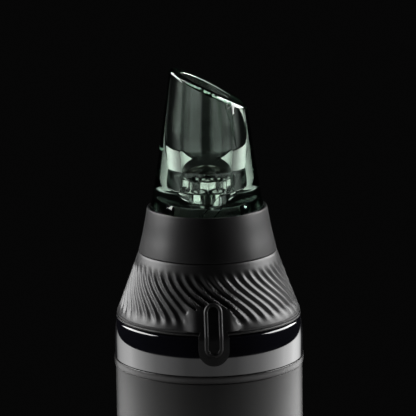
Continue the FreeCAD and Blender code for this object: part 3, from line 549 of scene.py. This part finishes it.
def drawn_metal(name, base, rough):
    """Plated or drawn metal with small spots of tarnish."""
    finish = Finish(name, base, 1.0, sum(rough) / 2)
    spots = finish.noise(finish.coordinates, 1800, 4.0)
    streaks = finish.noise(finish.stretch(1, 1, 0.15), 3600, 2.0)
    finish.vary_colour(spots, 0.78, 1.1)
    finish.vary_roughness(streaks, *rough)
    finish.relief(streaks, 0.12, 0.01 * MM)
    return finish.material


def cell_jacket(name):
    """Printed shrink sleeve of the cell: a copper-coloured top over a dark body."""
    dark, copper = (0.02, 0.02, 0.022), (0.55, 0.27, 0.12)
    finish = Finish(name, dark, 0.3, 0.28)
    split = finish.nodes.new("ShaderNodeSeparateXYZ")
    finish.links.new(finish.coordinates, split.inputs[0])
    low, high = foot_of("battery_cell"), head_of("battery_cell")
    level = low + 0.72 * (high - low)
    band = finish.spread(split.outputs["Z"], 0.0, 1.0, level, level + 0.1 * MM)
    finish.blend(band, dark, copper)
    wrinkles = finish.noise(finish.stretch(1, 1, 0.3), 700, 3.0)
    finish.relief(wrinkles, 0.12, 0.03 * MM)
    return finish.material


def wound_copper(name):
    """Enamelled wire laid in close turns."""
    finish = Finish(name, (0.45, 0.16, 0.06), 0.85, 0.3, Coat_Weight=0.5, Coat_Roughness=0.1)
    wave = finish.nodes.new("ShaderNodeTexWave")
    wave.inputs["Scale"].default_value = 900
    wave.inputs["Distortion"].default_value = 1.5
    finish.links.new(finish.coordinates, wave.inputs["Vector"])
    finish.vary_colour(wave.outputs["Fac"], 0.45, 1.15)
    finish.relief(wave.outputs["Fac"], 0.5, 0.05 * MM)
    return finish.material


def pale_floor(name, base):
    """Plain pale paper floor."""
    finish = Finish(name, base, 0.0, 0.85)
    fibre = finish.noise(finish.coordinates, 700, 4.0)
    finish.vary_colour(fibre, 0.96, 1.03)
    finish.relief(fibre, 0.05, 0.05 * MM)
    return finish.material


def make_finishes(colours):
    """All finishes, by the names of their slots."""
    return {
        "satin_tube": satin_metal("satin_tube_coat", tuple(colours.tube)),
        "trim_metal": satin_metal("trim_satin", (0.03, 0.029, 0.029), 0.2, (0.2, 0.26)),
        "gloss_band": polished_band("band_polish", tuple(colours.band)),
        "soft_black": moulded("grip_moulding", tuple(colours.grip)),
        "index_dark": brushed(
            "marker_inlay", (0.012, 0.012, 0.012), 2600.0, 120.0, (0.4, 0.6), 0.3
        ),
        "clear_cap": clear_glass("cover_clear", tuple(colours.glass)),
        "satin_steel": brushed("head_brushed", (0.56, 0.55, 0.54)),
        "blade_steel": drawn_metal("blade_ground", tuple(colours.steel), (0.08, 0.16)),
        "seal_rubber": rubber("seal_black", (0.012, 0.012, 0.013)),
        "contact_metal": drawn_metal("contact_plating", (0.66, 0.62, 0.5), (0.2, 0.32)),
        "spring_steel": drawn_metal("spring_wire", (0.5, 0.5, 0.5), (0.2, 0.34)),
        "cell_wrap": cell_jacket("cell_jacket"),
        "inner_plastic": moulded("inner_moulding", (0.05, 0.052, 0.056), (0.5, 0.62), 3200),
        "motor_steel": drawn_metal("motor_zinc", (0.48, 0.49, 0.5), (0.26, 0.42)),
        "bronze": drawn_metal("bearing_bronze", (0.5, 0.31, 0.14), (0.28, 0.44)),
        "magnet": moulded("magnet_sinter", (0.035, 0.033, 0.032), (0.5, 0.66), 2600, 0.4),
        "copper_wire": wound_copper("winding_copper"),
        "cam_plastic": moulded("cam_acetal", (0.62, 0.6, 0.55), (0.36, 0.46), 2400, 0.15),
    }


FINISHES = {}


def finish_named(slot):
    """A finish that make_finishes has made."""
    return FINISHES[slot]


# --- pieces ------------------------------------------------------------------------------


class TRIMMER_OT_finishes(bpy.types.Operator):
    """Make the finishes and give every designed part its own"""

    bl_idname = "trimmer.finishes"
    bl_label = "Finishes"

    def execute(self, context):
        FINISHES.update(make_finishes(context.scene.trimmer_colours))
        for node in frame["nodes"].values():
            for material_slot in node.material_slots:
                material_slot.material = finish_named(material_slot.material.name.split(".")[0])
        return {"FINISHED"}


class TRIMMER_OT_tube(bpy.types.Operator):
    """Model the handle tube with its softly broken edges"""

    bl_idname = "trimmer.tube"
    bl_label = "Handle tube"

    def execute(self, context):
        sizes = context.scene.trimmer_sizes
        outer = radius_of("body_tube") / MM
        inner = outer - sizes.tube_wall / MM
        low, high = foot_of("body_tube") / MM, head_of("body_tube") / MM
        edge = sizes.edge_round / MM
        outline = soften([
            (outer, low, edge), (outer, high, edge), (inner, high, 0.05), (inner, low, 0.05)
        ])
        tube = turn("handle_tube", outline)
        smooth(tube)
        finish_piece(tube, finish_named("satin_tube"), "handle", "satin_tube", "body_tube")
        return {"FINISHED"}


class TRIMMER_OT_trim(bpy.types.Operator):
    """Model the thin trim ring and the polished band above it"""

    bl_idname = "trimmer.trim"
    bl_label = "Trim ring and band"

    def execute(self, context):
        outer = radius_of("trim_ring") / MM
        low, high = foot_of("trim_ring") / MM, head_of("trim_ring") / MM
        bore = 12.55
        ring = turn("trim_ring_satin", soften([
            (outer, low, 0.12), (outer, high, 0.12), (bore, high, 0.05), (bore, low, 0.05)
        ]))
        smooth(ring)
        finish_piece(ring, finish_named("trim_metal"), "handle", "trim_metal", "trim_ring")
        outer = radius_of("gloss_band") / MM - 0.05
        low, high = foot_of("gloss_band") / MM, head_of("gloss_band") / MM
        bore, waist, shoulder = 12.9, 99.4, (14.75, 101.25)
        band = turn("polished_band", soften([
            (outer, low, 0.1), (outer, waist, 1.8), (*shoulder, 0.2), (14.45, high, 0.1),
            (bore, high, 0.05), (bore, low, 0.05),
        ], 8))
        smooth(band, 40)
        finish_piece(band, finish_named("gloss_band"), "handle", "gloss_band", "gloss_band")
        return {"FINISHED"}


# Switch ring, in millimetres: points are (radius, height), pairs are where a ramp starts and ends.
CONE_LOW = (14.8, 102.1)
CONE_HIGH = (11.0, 112.28)
RING_FOOT = 101.7
TONGUE_FACE = ((13.25, 107.4), (15.72, 101.6), (16.1, 97.0))
FLUTES_RISE = (102.7, 104.6)
FLUTES_END = (109.4, 111.3)
BARE_HEIGHTS = (104.4, 108.8)
BARE_LEFT = (-24.0, -15.0)  # degrees from the front
BARE_RIGHT = (10.0, 16.0)
SWELL_SIDE = (2.4, 4.9)
SWELL_TOP = (106.6, 109.5)


def cone_radius(height):
    """Radius in millimetres of the switch ring's plain outside at a height."""
    share = (height - CONE_LOW[1]) / (CONE_HIGH[1] - CONE_LOW[1])
    return CONE_LOW[0] + share * (CONE_HIGH[0] - CONE_LOW[0])


def tongue_radius(height):
    """Radius in millimetres of the tongue's face at a height."""
    top, knee, tip = TONGUE_FACE
    above, below = (top, knee) if height > knee[1] else (knee, tip)
    share = (height - below[1]) / (above[1] - below[1])
    return below[0] + share * (above[0] - below[0])


class TRIMMER_OT_switch_ring(bpy.types.Operator):
    """Model the fluted switch ring, swollen round its tongue"""

    bl_idname = "trimmer.switch_ring"
    bl_label = "Switch ring"

    ring_rows = 54
    ring_segments = 624

    def execute(self, context):
        sizes = context.scene.trimmer_sizes
        start, reach = CONE_LOW[1] + 0.35, CONE_HIGH[1] - CONE_LOW[1] - 0.6
        heights = [start + reach * row / self.ring_rows for row in range(self.ring_rows + 1)]
        rows = [Vector((cone_radius(height), height)) * MM for height in heights]
        bore, inner_foot = 9.08, (13.3, RING_FOOT, 0.06)
        skirt = soften([inner_foot, (14.72, RING_FOOT, 0.1), (*CONE_LOW, 0.25)])
        crown = soften([
            (*CONE_HIGH, 0.16), (bore, CONE_HIGH[1], 0.1), (bore, 110.6, 0.2), inner_foot
        ])
        # Both outlines round the inner foot, in five points; only the skirt's are kept.
        outline = skirt[5:] + rows + crown[:-5] + skirt[:5]
        ring = turn("switch_ring_fluted", outline, self.ring_segments)
        pitch = 2 * math.pi / sizes.rib_count

        def outside(place):
            height = place.z / MM
            reach = math.hypot(place.x, place.y) / MM
            return abs(reach - cone_radius(height)) < 0.05 and height > RING_FOOT

        def flute(place):
            if not outside(place):
                return 0.0
            angle = math.atan2(place.x, -place.y)
            lean = sizes.rib_turn * (ramp(-place.z, -sizes.rib_head, -sizes.rib_foot) - 0.5)
            phase = (angle - lean) / pitch
            hollow = 0.5 - 0.5 * math.cos(2 * math.pi * phase)
            height = place.z / MM
            fade = ramp(height, *FLUTES_RISE) * (1 - ramp(height, *FLUTES_END))
            degrees = math.degrees(angle)
            near = ramp(degrees, *BARE_LEFT) * (1 - ramp(degrees, *BARE_RIGHT))
            clear = 1 - near * (1 - ramp(height, *BARE_HEIGHTS))
            return hollow ** 0.85 * fade * clear

        def swell(place):
            if not outside(place) or place.y > 0:
                return 0.0
            height = place.z / MM
            side = 1 - ramp(abs(place.x) / MM, *SWELL_SIDE)
            level = min(height, TONGUE_FACE[0][1])
            rise = tongue_radius(level) - cone_radius(level) - 0.03
            return side * rise * (1 - ramp(height, *SWELL_TOP))

        smooth(ring, 60)
        displace(ring, -sizes.rib_depth, flute)
        displace(ring, MM, swell)
        smooth(ring, 50)
        finish_piece(ring, finish_named("soft_black"), "switch_ring", "soft_black", "grip_cone")
        return {"FINISHED"}


class TRIMMER_OT_tongue(bpy.types.Operator):
    """Model the tongue of the switch ring, its raised rim and its dark inlay"""

    bl_idname = "trimmer.tongue"
    bl_label = "Tongue and marker"

    def sleeve(self, name, inner, lift):
        """A ring that follows the tongue's face, lifted by some millimetres."""
        top, knee, tip = TONGUE_FACE
        low, high = tip[1] - 1.0, top[1] + 1.5
        steps = 28
        heights = [low + (high - low) * step / steps for step in range(steps + 1)]
        face = [(tongue_radius(height) + lift, height) for height in heights]
        back = [
            (tongue_radius(high) - 1.2, high), (inner - 1.3, knee[1] + 0.6),
            (inner, knee[1] - 0.3), (inner, low),
        ]
        return turn(name, [Vector(point) * MM for point in face + back], 360)

    def execute(self, context):
        sizes = context.scene.trimmer_sizes
        dark = finish_named("soft_black")
        near, far = -20 * MM, -6 * MM
        tongue = self.sleeve("switch_tongue", 15.45, 0.0)
        block = pill_block("tongue_block", 2.43 * MM, 97.2 * MM, 103.6 * MM, near, far)
        carve(tongue, block, "INTERSECT")
        settle(tongue)
        ease_edges(tongue, 0.3 * MM, 4)
        smooth(tongue, 50)
        finish_piece(tongue, dark, "switch_ring", "soft_black")

        half = sizes.marker_half
        rim = pill_block("marker_rim", half, 98.9 * MM, 106.45 * MM, near, far)
        choose(rim, "VERT", lambda place: place.y > (near + far) / 2)
        bpy.ops.mesh.delete(type="VERT")
        bpy.ops.mesh.select_all(action="SELECT")
        bpy.ops.mesh.delete(type="ONLY_FACE")
        # Only the two long sides are cut up; the round ends are fine already.
        choose(rim, "EDGE", lambda one, other: abs(one.z - other.z) > 1 * MM)
        bpy.ops.mesh.subdivide(number_cuts=24)
        bpy.ops.object.mode_set(mode="OBJECT")
        for vertex in rim.data.vertices:
            reach = (tongue_radius(vertex.co.z / MM) + 0.02) * MM
            vertex.co.y = -math.sqrt(reach ** 2 - vertex.co.x ** 2)
        pick(rim)
        bpy.ops.object.convert(target="CURVE")
        rim.data.bevel_depth = sizes.bead_wire
        rim.data.bevel_resolution = 5
        bpy.ops.object.convert(target="MESH")
        rim = bpy.context.object
        name_piece(rim, "marker_rim")
        settle(rim)
        smooth(rim, 60)
        finish_piece(rim, dark, "switch_ring", "soft_black")

        inlay = self.sleeve("marker_inlay", 14.0, 0.06)
        block = pill_block(
            "inlay_block", half - 0.1 * MM, 99.0 * MM, 106.35 * MM, near, -12.2 * MM
        )
        carve(inlay, block, "INTERSECT")
        settle(inlay)
        smooth(inlay, 40)
        finish_piece(
            inlay, finish_named("index_dark"), "switch_ring", "index_dark", "index_insert"
        )
        return {"FINISHED"}


class TRIMMER_OT_collar(bpy.types.Operator):
    """Model the smooth collar with its thin lip"""

    bl_idname = "trimmer.collar"
    bl_label = "Collar"

    def execute(self, context):
        low, high = foot_of("collar") / MM, head_of("collar") / MM
        bore, waist = 9.12, (10.2, 115.8)
        collar = turn("collar_smooth", soften([
            (11.0, low, 0.1), (*waist, 1.2), (9.55, high, 0.18), (bore, high, 0.16),
            (bore, low, 0.06),
        ], 6))
        smooth(collar, 40)
        finish_piece(collar, finish_named("soft_black"), "head", "soft_black", "collar")
        return {"FINISHED"}


class TRIMMER_OT_head(bpy.types.Operator):
    """Model the brushed head base and the slotted cutter guard"""

    bl_idname = "trimmer.head"
    bl_label = "Head base and guard"

    def execute(self, context):
        sizes = context.scene.trimmer_sizes
        foot, flange_low, flange_high, seat, top = 104.0, 112.38, 114.2, 118.9, 119.9
        stem, flange, boss, recess, bore = 5.92, 9.1, 5.3, 4.28, 3.0
        base = turn("head_base_brushed", soften([
            (stem, foot, 0.2), (stem, flange_low, 0), (flange, flange_low, 0.1),
            (flange, flange_high, 0.15), (boss, flange_high, 0.1), (boss, top, 0.22),
            (recess, top, 0.06), (recess, seat, 0), (bore, seat, 0.06), (bore, foot, 0.1),
        ]))
        smooth(base)
        finish_piece(base, finish_named("satin_steel"), "head", "satin_steel", "head_base")

        barrel, wall, roof = 2.9, 0.4, 0.35
        spring, top = 123.2, 124.9
        turns = [math.radians(step * 11.0) for step in range(8)]
        outside = [
            (barrel * math.cos(turned), spring + (top - spring) * math.sin(turned))
            for turned in turns
        ]
        inside = [(radius - wall, height - roof) for radius, height in reversed(outside)]
        rim, rim_low, rim_high = 4.25, 118.92, 119.88
        outline = soften([
            (2.5, rim_low, 0.05), (rim, rim_low, 0.08), (rim, rim_high, 0.12),
            (barrel, rim_high, 0.1),
        ])
        dome = outside + [(POLE, top), (POLE, top - roof)] + inside
        outline += [Vector(point) * MM for point in dome]
        guard = turn("guard_fluted", outline, 192)
        slot_tall, slot_middle = 3.4 * MM, 122.3 * MM
        for slot in range(sizes.guard_slots // 2):
            pick()
            bpy.ops.mesh.primitive_cube_add(size=1.0, location=(0, 0, 0))
            bar = bpy.context.object
            bar.scale = (8 * MM, sizes.guard_slot, slot_tall)
            bar.rotation_euler.z = 2 * math.pi * (slot + 0.5) / sizes.guard_slots
            bar.location.z = slot_middle
            bpy.ops.object.transform_apply(location=True, rotation=True, scale=True)
            carve(guard, bar)
        settle(guard)
        ease_edges(guard, 0.05 * MM, 2)
        smooth(guard, 40)
        finish_piece(guard, finish_named("blade_steel"), "head", "blade_steel", "cutter_guard")
        return {"FINISHED"}


class TRIMMER_OT_crown(bpy.types.Operator):
    """Model the fluted crown that centres the guard in the cover"""

    bl_idname = "trimmer.crown"
    bl_label = "Centring crown"

    def execute(self, context):
        sizes = context.scene.trimmer_sizes
        outer, low = radius_of("centring_crown") / MM, foot_of("centring_crown") / MM
        bore, brow, top = 3.3, 124.3, 124.58
        rows = 14
        wall = [
            (outer + 0.05 * (1 - row / rows), low + 0.08 + 1.9 * row / rows)
            for row in range(rows + 1)
        ]
        wall += [(outer - 0.12, brow), (outer - 0.34, 124.5), (outer - 0.6, top)]
        inside = [(bore + 0.04, 124.5), (bore, brow), (bore, low), (outer - 0.1, low)]
        crown = turn("crown_fluted", [Vector(point) * MM for point in wall + inside], 240)

        def hollow(place):
            if math.hypot(place.x, place.y) < (bore + 0.06) * MM:
                return 0.0
            share = sizes.crown_flutes * math.atan2(place.x, -place.y) / (2 * math.pi)
            rise = ramp(place.z, (low + 0.1) * MM, (low + 0.8) * MM)
            return (1 - abs(2 * (share % 1) - 1)) * rise

        smooth(crown, 60)
        displace(crown, -sizes.flute_depth, hollow)
        smooth(crown, 24)
        finish_piece(crown, finish_named("blade_steel"), "cap", "blade_steel", "centring_crown")
        return {"FINISHED"}


class TRIMMER_OT_cover(bpy.types.Operator):
    """Model the thick clear cover with its slanted, fire-polished mouth and its locking track"""

    bl_idname = "trimmer.cover"
    bl_label = "Clear cover"

    def execute(self, context):
        sizes = context.scene.trimmer_sizes
        low = foot_of("clear_cap") / MM
        outer = radius_of("clear_cap") / MM
        blank_top = 143.0
        groove, groove_low, groove_high = 8.35, 116.6, 117.6
        socket, neck, neck_low, neck_high = 5.4, 3.15, 120.0, 122.0
        outside = [
            (outer, low, 0.2), (outer, groove_low, 0.06), (groove, groove_low, 0),
            (groove, groove_high, 0), (outer, groove_high, 0.06), (outer, 119.8, 0.6),
            (8.7, 121.0, 0.6), (7.78, 126.5, 2.5), (6.1, 138.5, 1.5), (5.54, blank_top, 0),
        ]
        inside = [
            (3.75, blank_top, 0), (4.38, 129.6, 2.0), (4.12, 125.2, 0.5), (4.4, neck_high, 0.3),
            (neck, neck_high, 0.1), (neck, neck_low, 0.08), (socket, neck_low, 0.15),
            (socket, low, 0.15),
        ]
        cover = turn("cover_slanted", soften(outside + inside, 8), 256)
        middle = Vector((0, 0, (sizes.mouth_high + sizes.mouth_low) / 2))
        slope = Vector((sizes.mouth_high - sizes.mouth_low, 0, 2 * sizes.mouth_half)).normalized()
        pick(cover)
        bpy.ops.object.mode_set(mode="EDIT")
        bpy.ops.mesh.select_all(action="SELECT")
        bpy.ops.mesh.bisect(plane_co=middle, plane_no=slope, clear_outer=True, threshold=1e-7)
        bpy.ops.mesh.select_all(action="DESELECT")
        bpy.ops.mesh.select_non_manifold()
        bpy.ops.mesh.bridge_edge_loops()
        bpy.ops.object.mode_set(mode="OBJECT")

        mid_wall = 4.9 * MM

        def on_rim(place, inner):
            level = abs((place - middle).dot(slope)) < MERGE
            return level and (math.hypot(place.x, place.y) < mid_wall) == inner

        for inner, offset in ((True, sizes.mouth_round / 3), (False, sizes.mouth_round)):
            choose(cover, "EDGE", lambda one, other: on_rim(one, inner) and on_rim(other, inner))
            bpy.ops.mesh.bevel(offset=offset, segments=6, affect="EDGES")
            bpy.ops.object.mode_set(mode="OBJECT")
        settle(cover)
        # The locking track: cut from outside to a floor 7.7 mm from the axis, leaning right.
        track = pill_block("track_tool", 0.8 * MM, 0, 6.0 * MM, -11 * MM, -7.7 * MM, 48)
        track.location = (-0.9 * MM, 0, 118.6 * MM)
        track_run, track_rise = 2.9, 3.4
        track.rotation_euler.y = math.atan2(track_run, track_rise)
        pick(track)
        bpy.ops.object.transform_apply(location=True, rotation=True, scale=False)
        carve(cover, track)
        settle(cover)
        smooth(cover, 38)
        finish_piece(cover, finish_named("clear_cap"), "cap", "clear_cap", "clear_cap")
        return {"FINISHED"}


class TRIMMER_OT_tail(bpy.types.Operator):
    """Model the tail cap with its two finger hollows"""

    bl_idname = "trimmer.tail"
    bl_label = "Tail cap"

    def execute(self, context):
        outer = radius_of("tail_cap") / MM
        plug, groove, cup = 13.92, 13.05, 12.4
        base, groove_low, groove_high, top = 3.0, 6.0, 7.0, 10.0
        cap = turn("tail_cap_moulded", soften([
            (POLE, 0.0, 0), (outer, 0.0, 0.6), (outer, base, 0.15), (plug, base, 0.05),
            (plug, groove_low, 0.05), (groove, groove_low, 0), (groove, groove_high, 0),
            (plug, groove_high, 0.05), (plug, top, 0.2), (cup, top, 0.1), (cup, base, 0.1),
            (POLE, base, 0),
        ]))
        half, reach, depth = 2.6 * MM, 7 * MM, 1.6 * MM
        for side in (-6.0, 6.0):
            hollow = pill_block("hollow_tool", half, -reach, reach, -depth, depth, 48)
            hollow.location.x = side * MM
            hollow.rotation_euler.x = math.pi / 2
            pick(hollow)
            bpy.ops.object.transform_apply(location=True, rotation=True, scale=False)
            carve(cap, hollow)
        settle(cap)
        smooth(cap, 40)
        finish_piece(cap, finish_named("soft_black"), "tail", "soft_black", "tail_cap")
        return {"FINISHED"}


# --- studio ------------------------------------------------------------------------------


def around(angle, reach, height):
    """A place round the object: angle in degrees from the front, towards the right."""
    turned = math.radians(angle)
    return Vector((reach * math.sin(turned), -reach * math.cos(turned), height))


def soft_light(name, place, aim, width, tall, power, pieces):
    """A large flat light on some pieces only, which can't be seen itself or through the cover."""
    pick()
    bpy.ops.object.light_add(type="AREA", location=place)
    light = bpy.context.object
    light.name = name
    light.data.shape = "RECTANGLE"
    light.data.size = width
    light.data.size_y = tall
    light.data.energy = power
    light.rotation_mode = "QUATERNION"
    light.rotation_quaternion = (aim - place).to_track_quat("-Z", "Y")
    light.visible_camera = False
    light.visible_transmission = False
    light.light_linking.receiver_collection = pieces
    return light


# Levels of the curved lights: (degrees from the front, share of the strength).
SWEEP = (
    (-158, 0.0), (-150, 0.12), (-135, 0.35), (-112, 0.8), (-90, 0.62), (-70, 0.36), (-30, 0.13),
    (0, 0.11), (30, 0.16), (60, 0.38), (80, 0.66), (100, 0.98), (122, 0.9), (140, 0.4), (152, 0.0),
)
GLASS_SWEEP = (
    (-165, 0.0), (-155, 1.0), (-112, 1.0), (-100, 0.0), (0, 0.0), (100, 0.0), (112, 1.0),
    (155, 1.0), (165, 0.0),
)
CROWN_SWEEP = (
    (-95, 0.0), (-80, 1.0), (-28, 1.0), (-18, 0.0), (0, 0.0), (18, 0.0), (28, 1.0), (80, 1.0),
    (95, 0.0),
)
SWEEP_RADIUS = 0.4
# Name, levels, lowest and highest height, and strength of the lights seen in the cover only.
COVER_SWEEPS = (
    ("glass_sweep", GLASS_SWEEP, 0.018, 0.054, 0.12),
    ("crown_sweep", CROWN_SWEEP, -0.05, 0.06, 1.0),
    ("brow_sweep", CROWN_SWEEP, 0.36, 0.8, 0.4),
)
SIDE_LIGHT_REACH, SIDE_LIGHT_HEIGHT = 0.45, 0.36
FLOOR_LOW, FLOOR_HIGH = -2.3 * MM, -0.3 * MM


def low_sweep(name, levels, low, high, strength):
    """A low curved light round the object, with its own level at each angle."""
    pick()
    bpy.ops.mesh.primitive_cylinder_add(
        vertices=96, radius=SWEEP_RADIUS, depth=high - low,
        location=(0, 0, (low + high) / 2), end_fill_type="NOTHING",
    )
    sweep = bpy.context.object
    name_piece(sweep, name)
    bpy.ops.object.transform_apply(location=True, rotation=False, scale=False)
    sweep.visible_camera = False
    finish = Finish(name + "_glow", (0, 0, 0))
    split = finish.nodes.new("ShaderNodeSeparateXYZ")
    finish.links.new(finish.wrap(0.5 / math.pi, 1.0), split.inputs[0])
    turned = finish.spread(split.outputs["X"], 0.0, 1.0, -0.5, 0.5)
    glow = finish.nodes.new("ShaderNodeValToRGB")
    stops = glow.color_ramp.elements
    for angle, level in levels:
        # The ramp starts at the front, goes round by the left and ends at the front again.
        position = -angle / 360 if angle <= 0 else 1 - angle / 360
        stop = stops[0] if angle == 0 else stops.new(position)
        stop.color = (level, level, level, 1)
    stops[len(stops) - 1].color = stops[0].color
    finish.links.new(turned, glow.inputs[0])
    finish.links.new(glow.outputs["Color"], finish.shader.inputs["Emission Color"])
    finish.shader.inputs["Emission Strength"].default_value = strength
    sweep.data.materials.append(finish.material)
    return sweep


class TRIMMER_OT_studio(bpy.types.Operator):
    """Set out the pale floor, the soft lights and the camera"""

    bl_idname = "trimmer.studio"
    bl_label = "Studio"

    def execute(self, context):
        studio = context.scene.trimmer_studio
        floor = turn("floor_disc", [
            Vector((studio.floor_radius, height)) for height in (FLOOR_LOW, FLOOR_HIGH)
        ], 128, closed=False)
        floor.data.materials.append(
            pale_floor("floor_paper", tuple(context.scene.trimmer_colours.floor))
        )

        lit = bpy.data.collections.new("lit_pieces")
        for piece in context.scene.objects:
            if piece.type == "MESH" and piece != floor:
                lit.objects.link(piece)
        staged = bpy.data.collections.new("lit_floor")
        staged.objects.link(floor)

        sweep = low_sweep("low_sweep", SWEEP, -0.25, 0.02, studio.sweep_strength)
        sweep.visible_transmission = False
        for name, levels, low, high, share in COVER_SWEEPS:
            inner_sweep = low_sweep(name, levels, low, high, studio.glass_strength * share)
            inner_sweep.visible_diffuse = False
            inner_sweep.visible_glossy = False
        for side, gain in ((-1, 0.9), (1, 1.0)):
            soft_light(
                "side_soft", around(side * studio.side_angle, SIDE_LIGHT_REACH, SIDE_LIGHT_HEIGHT),
                Vector((0, 0, SIDE_LIGHT_HEIGHT)), 0.5, 0.36, studio.side_power * gain, lit,
            )
        floor_light = soft_light(
            "floor_soft", around(180, 0.36, 0.45), Vector((0, 0.24, 0)), 0.3, 0.3,
            studio.floor_power, staged,
        )
        floor_light.data.spread = math.radians(70)

        world = bpy.data.worlds.new("studio_dark")
        world.use_nodes = True
        background = world.node_tree.nodes["Background"]
        background.inputs["Color"].default_value = (1, 1, 1, 1)
        background.inputs["Strength"].default_value = 0.002
        context.scene.world = world

        aim = Vector((0, 0, studio.aim_height))
        back = Vector((
            math.sin(studio.azimuth) * math.cos(studio.elevation),
            -math.cos(studio.azimuth) * math.cos(studio.elevation),
            math.sin(studio.elevation),
        ))
        pick()
        bpy.ops.object.camera_add(location=aim + back * studio.distance)
        camera = bpy.context.object
        camera.name = "studio_camera"
        facing = (-back).to_track_quat("-Z", "Y")
        camera.rotation_mode = "QUATERNION"
        camera.rotation_quaternion = facing @ Quaternion((0, 0, 1), studio.roll)
        camera.data.lens = studio.lens
        camera.data.sensor_width = 36.0
        camera.data.shift_x = studio.shift
        camera.data.clip_start = 0.01
        camera.data.clip_end = 20.0
        context.scene.camera = camera
        context.scene.view_settings.view_transform = "Standard"
        return {"FINISHED"}


class TRIMMER_PT_panel(bpy.types.Panel):
    """Sidebar panel that lists the pieces"""

    bl_label = "Trimmer"
    bl_idname = "TRIMMER_PT_panel"
    bl_space_type = "VIEW_3D"
    bl_region_type = "UI"
    bl_category = "Trimmer"

    def draw(self, context):
        layout = self.layout
        for operator in OPERATORS:
            layout.operator(operator.bl_idname)
        for settings in GROUPS:
            group = getattr(context.scene, settings)
            for name in group.__annotations__:
                layout.prop(group, name)


OPERATORS = (
    TRIMMER_OT_finishes,
    TRIMMER_OT_tube,
    TRIMMER_OT_trim,
    TRIMMER_OT_switch_ring,
    TRIMMER_OT_tongue,
    TRIMMER_OT_collar,
    TRIMMER_OT_head,
    TRIMMER_OT_crown,
    TRIMMER_OT_cover,
    TRIMMER_OT_tail,
    TRIMMER_OT_studio,
)
GROUPS = {
    "trimmer_sizes": TrimmerSizes,
    "trimmer_colours": TrimmerColours,
    "trimmer_studio": TrimmerStudio,
}


def register():
    """Registers the classes and hangs the settings on the scene."""
    for group in GROUPS.values():
        bpy.utils.register_class(group)
    for name, group in GROUPS.items():
        setattr(bpy.types.Scene, name, bpy.props.PointerProperty(type=group))
    for operator in OPERATORS:
        bpy.utils.register_class(operator)
    bpy.utils.register_class(TRIMMER_PT_panel)


def unregister():
    """Takes the classes and the settings away."""
    bpy.utils.unregister_class(TRIMMER_PT_panel)
    for operator in reversed(OPERATORS):
        bpy.utils.unregister_class(operator)
    for name, group in GROUPS.items():
        delattr(bpy.types.Scene, name)
        bpy.utils.unregister_class(group)


def main():
    """Makes every piece in order."""
    register()
    bpy.ops.trimmer.finishes()
    bpy.ops.trimmer.tube()
    bpy.ops.trimmer.trim()
    bpy.ops.trimmer.switch_ring()
    bpy.ops.trimmer.tongue()
    bpy.ops.trimmer.collar()
    bpy.ops.trimmer.head()
    bpy.ops.trimmer.crown()
    bpy.ops.trimmer.cover()
    bpy.ops.trimmer.tail()
    bpy.ops.trimmer.studio()


if __name__ == "__main__":
    main()
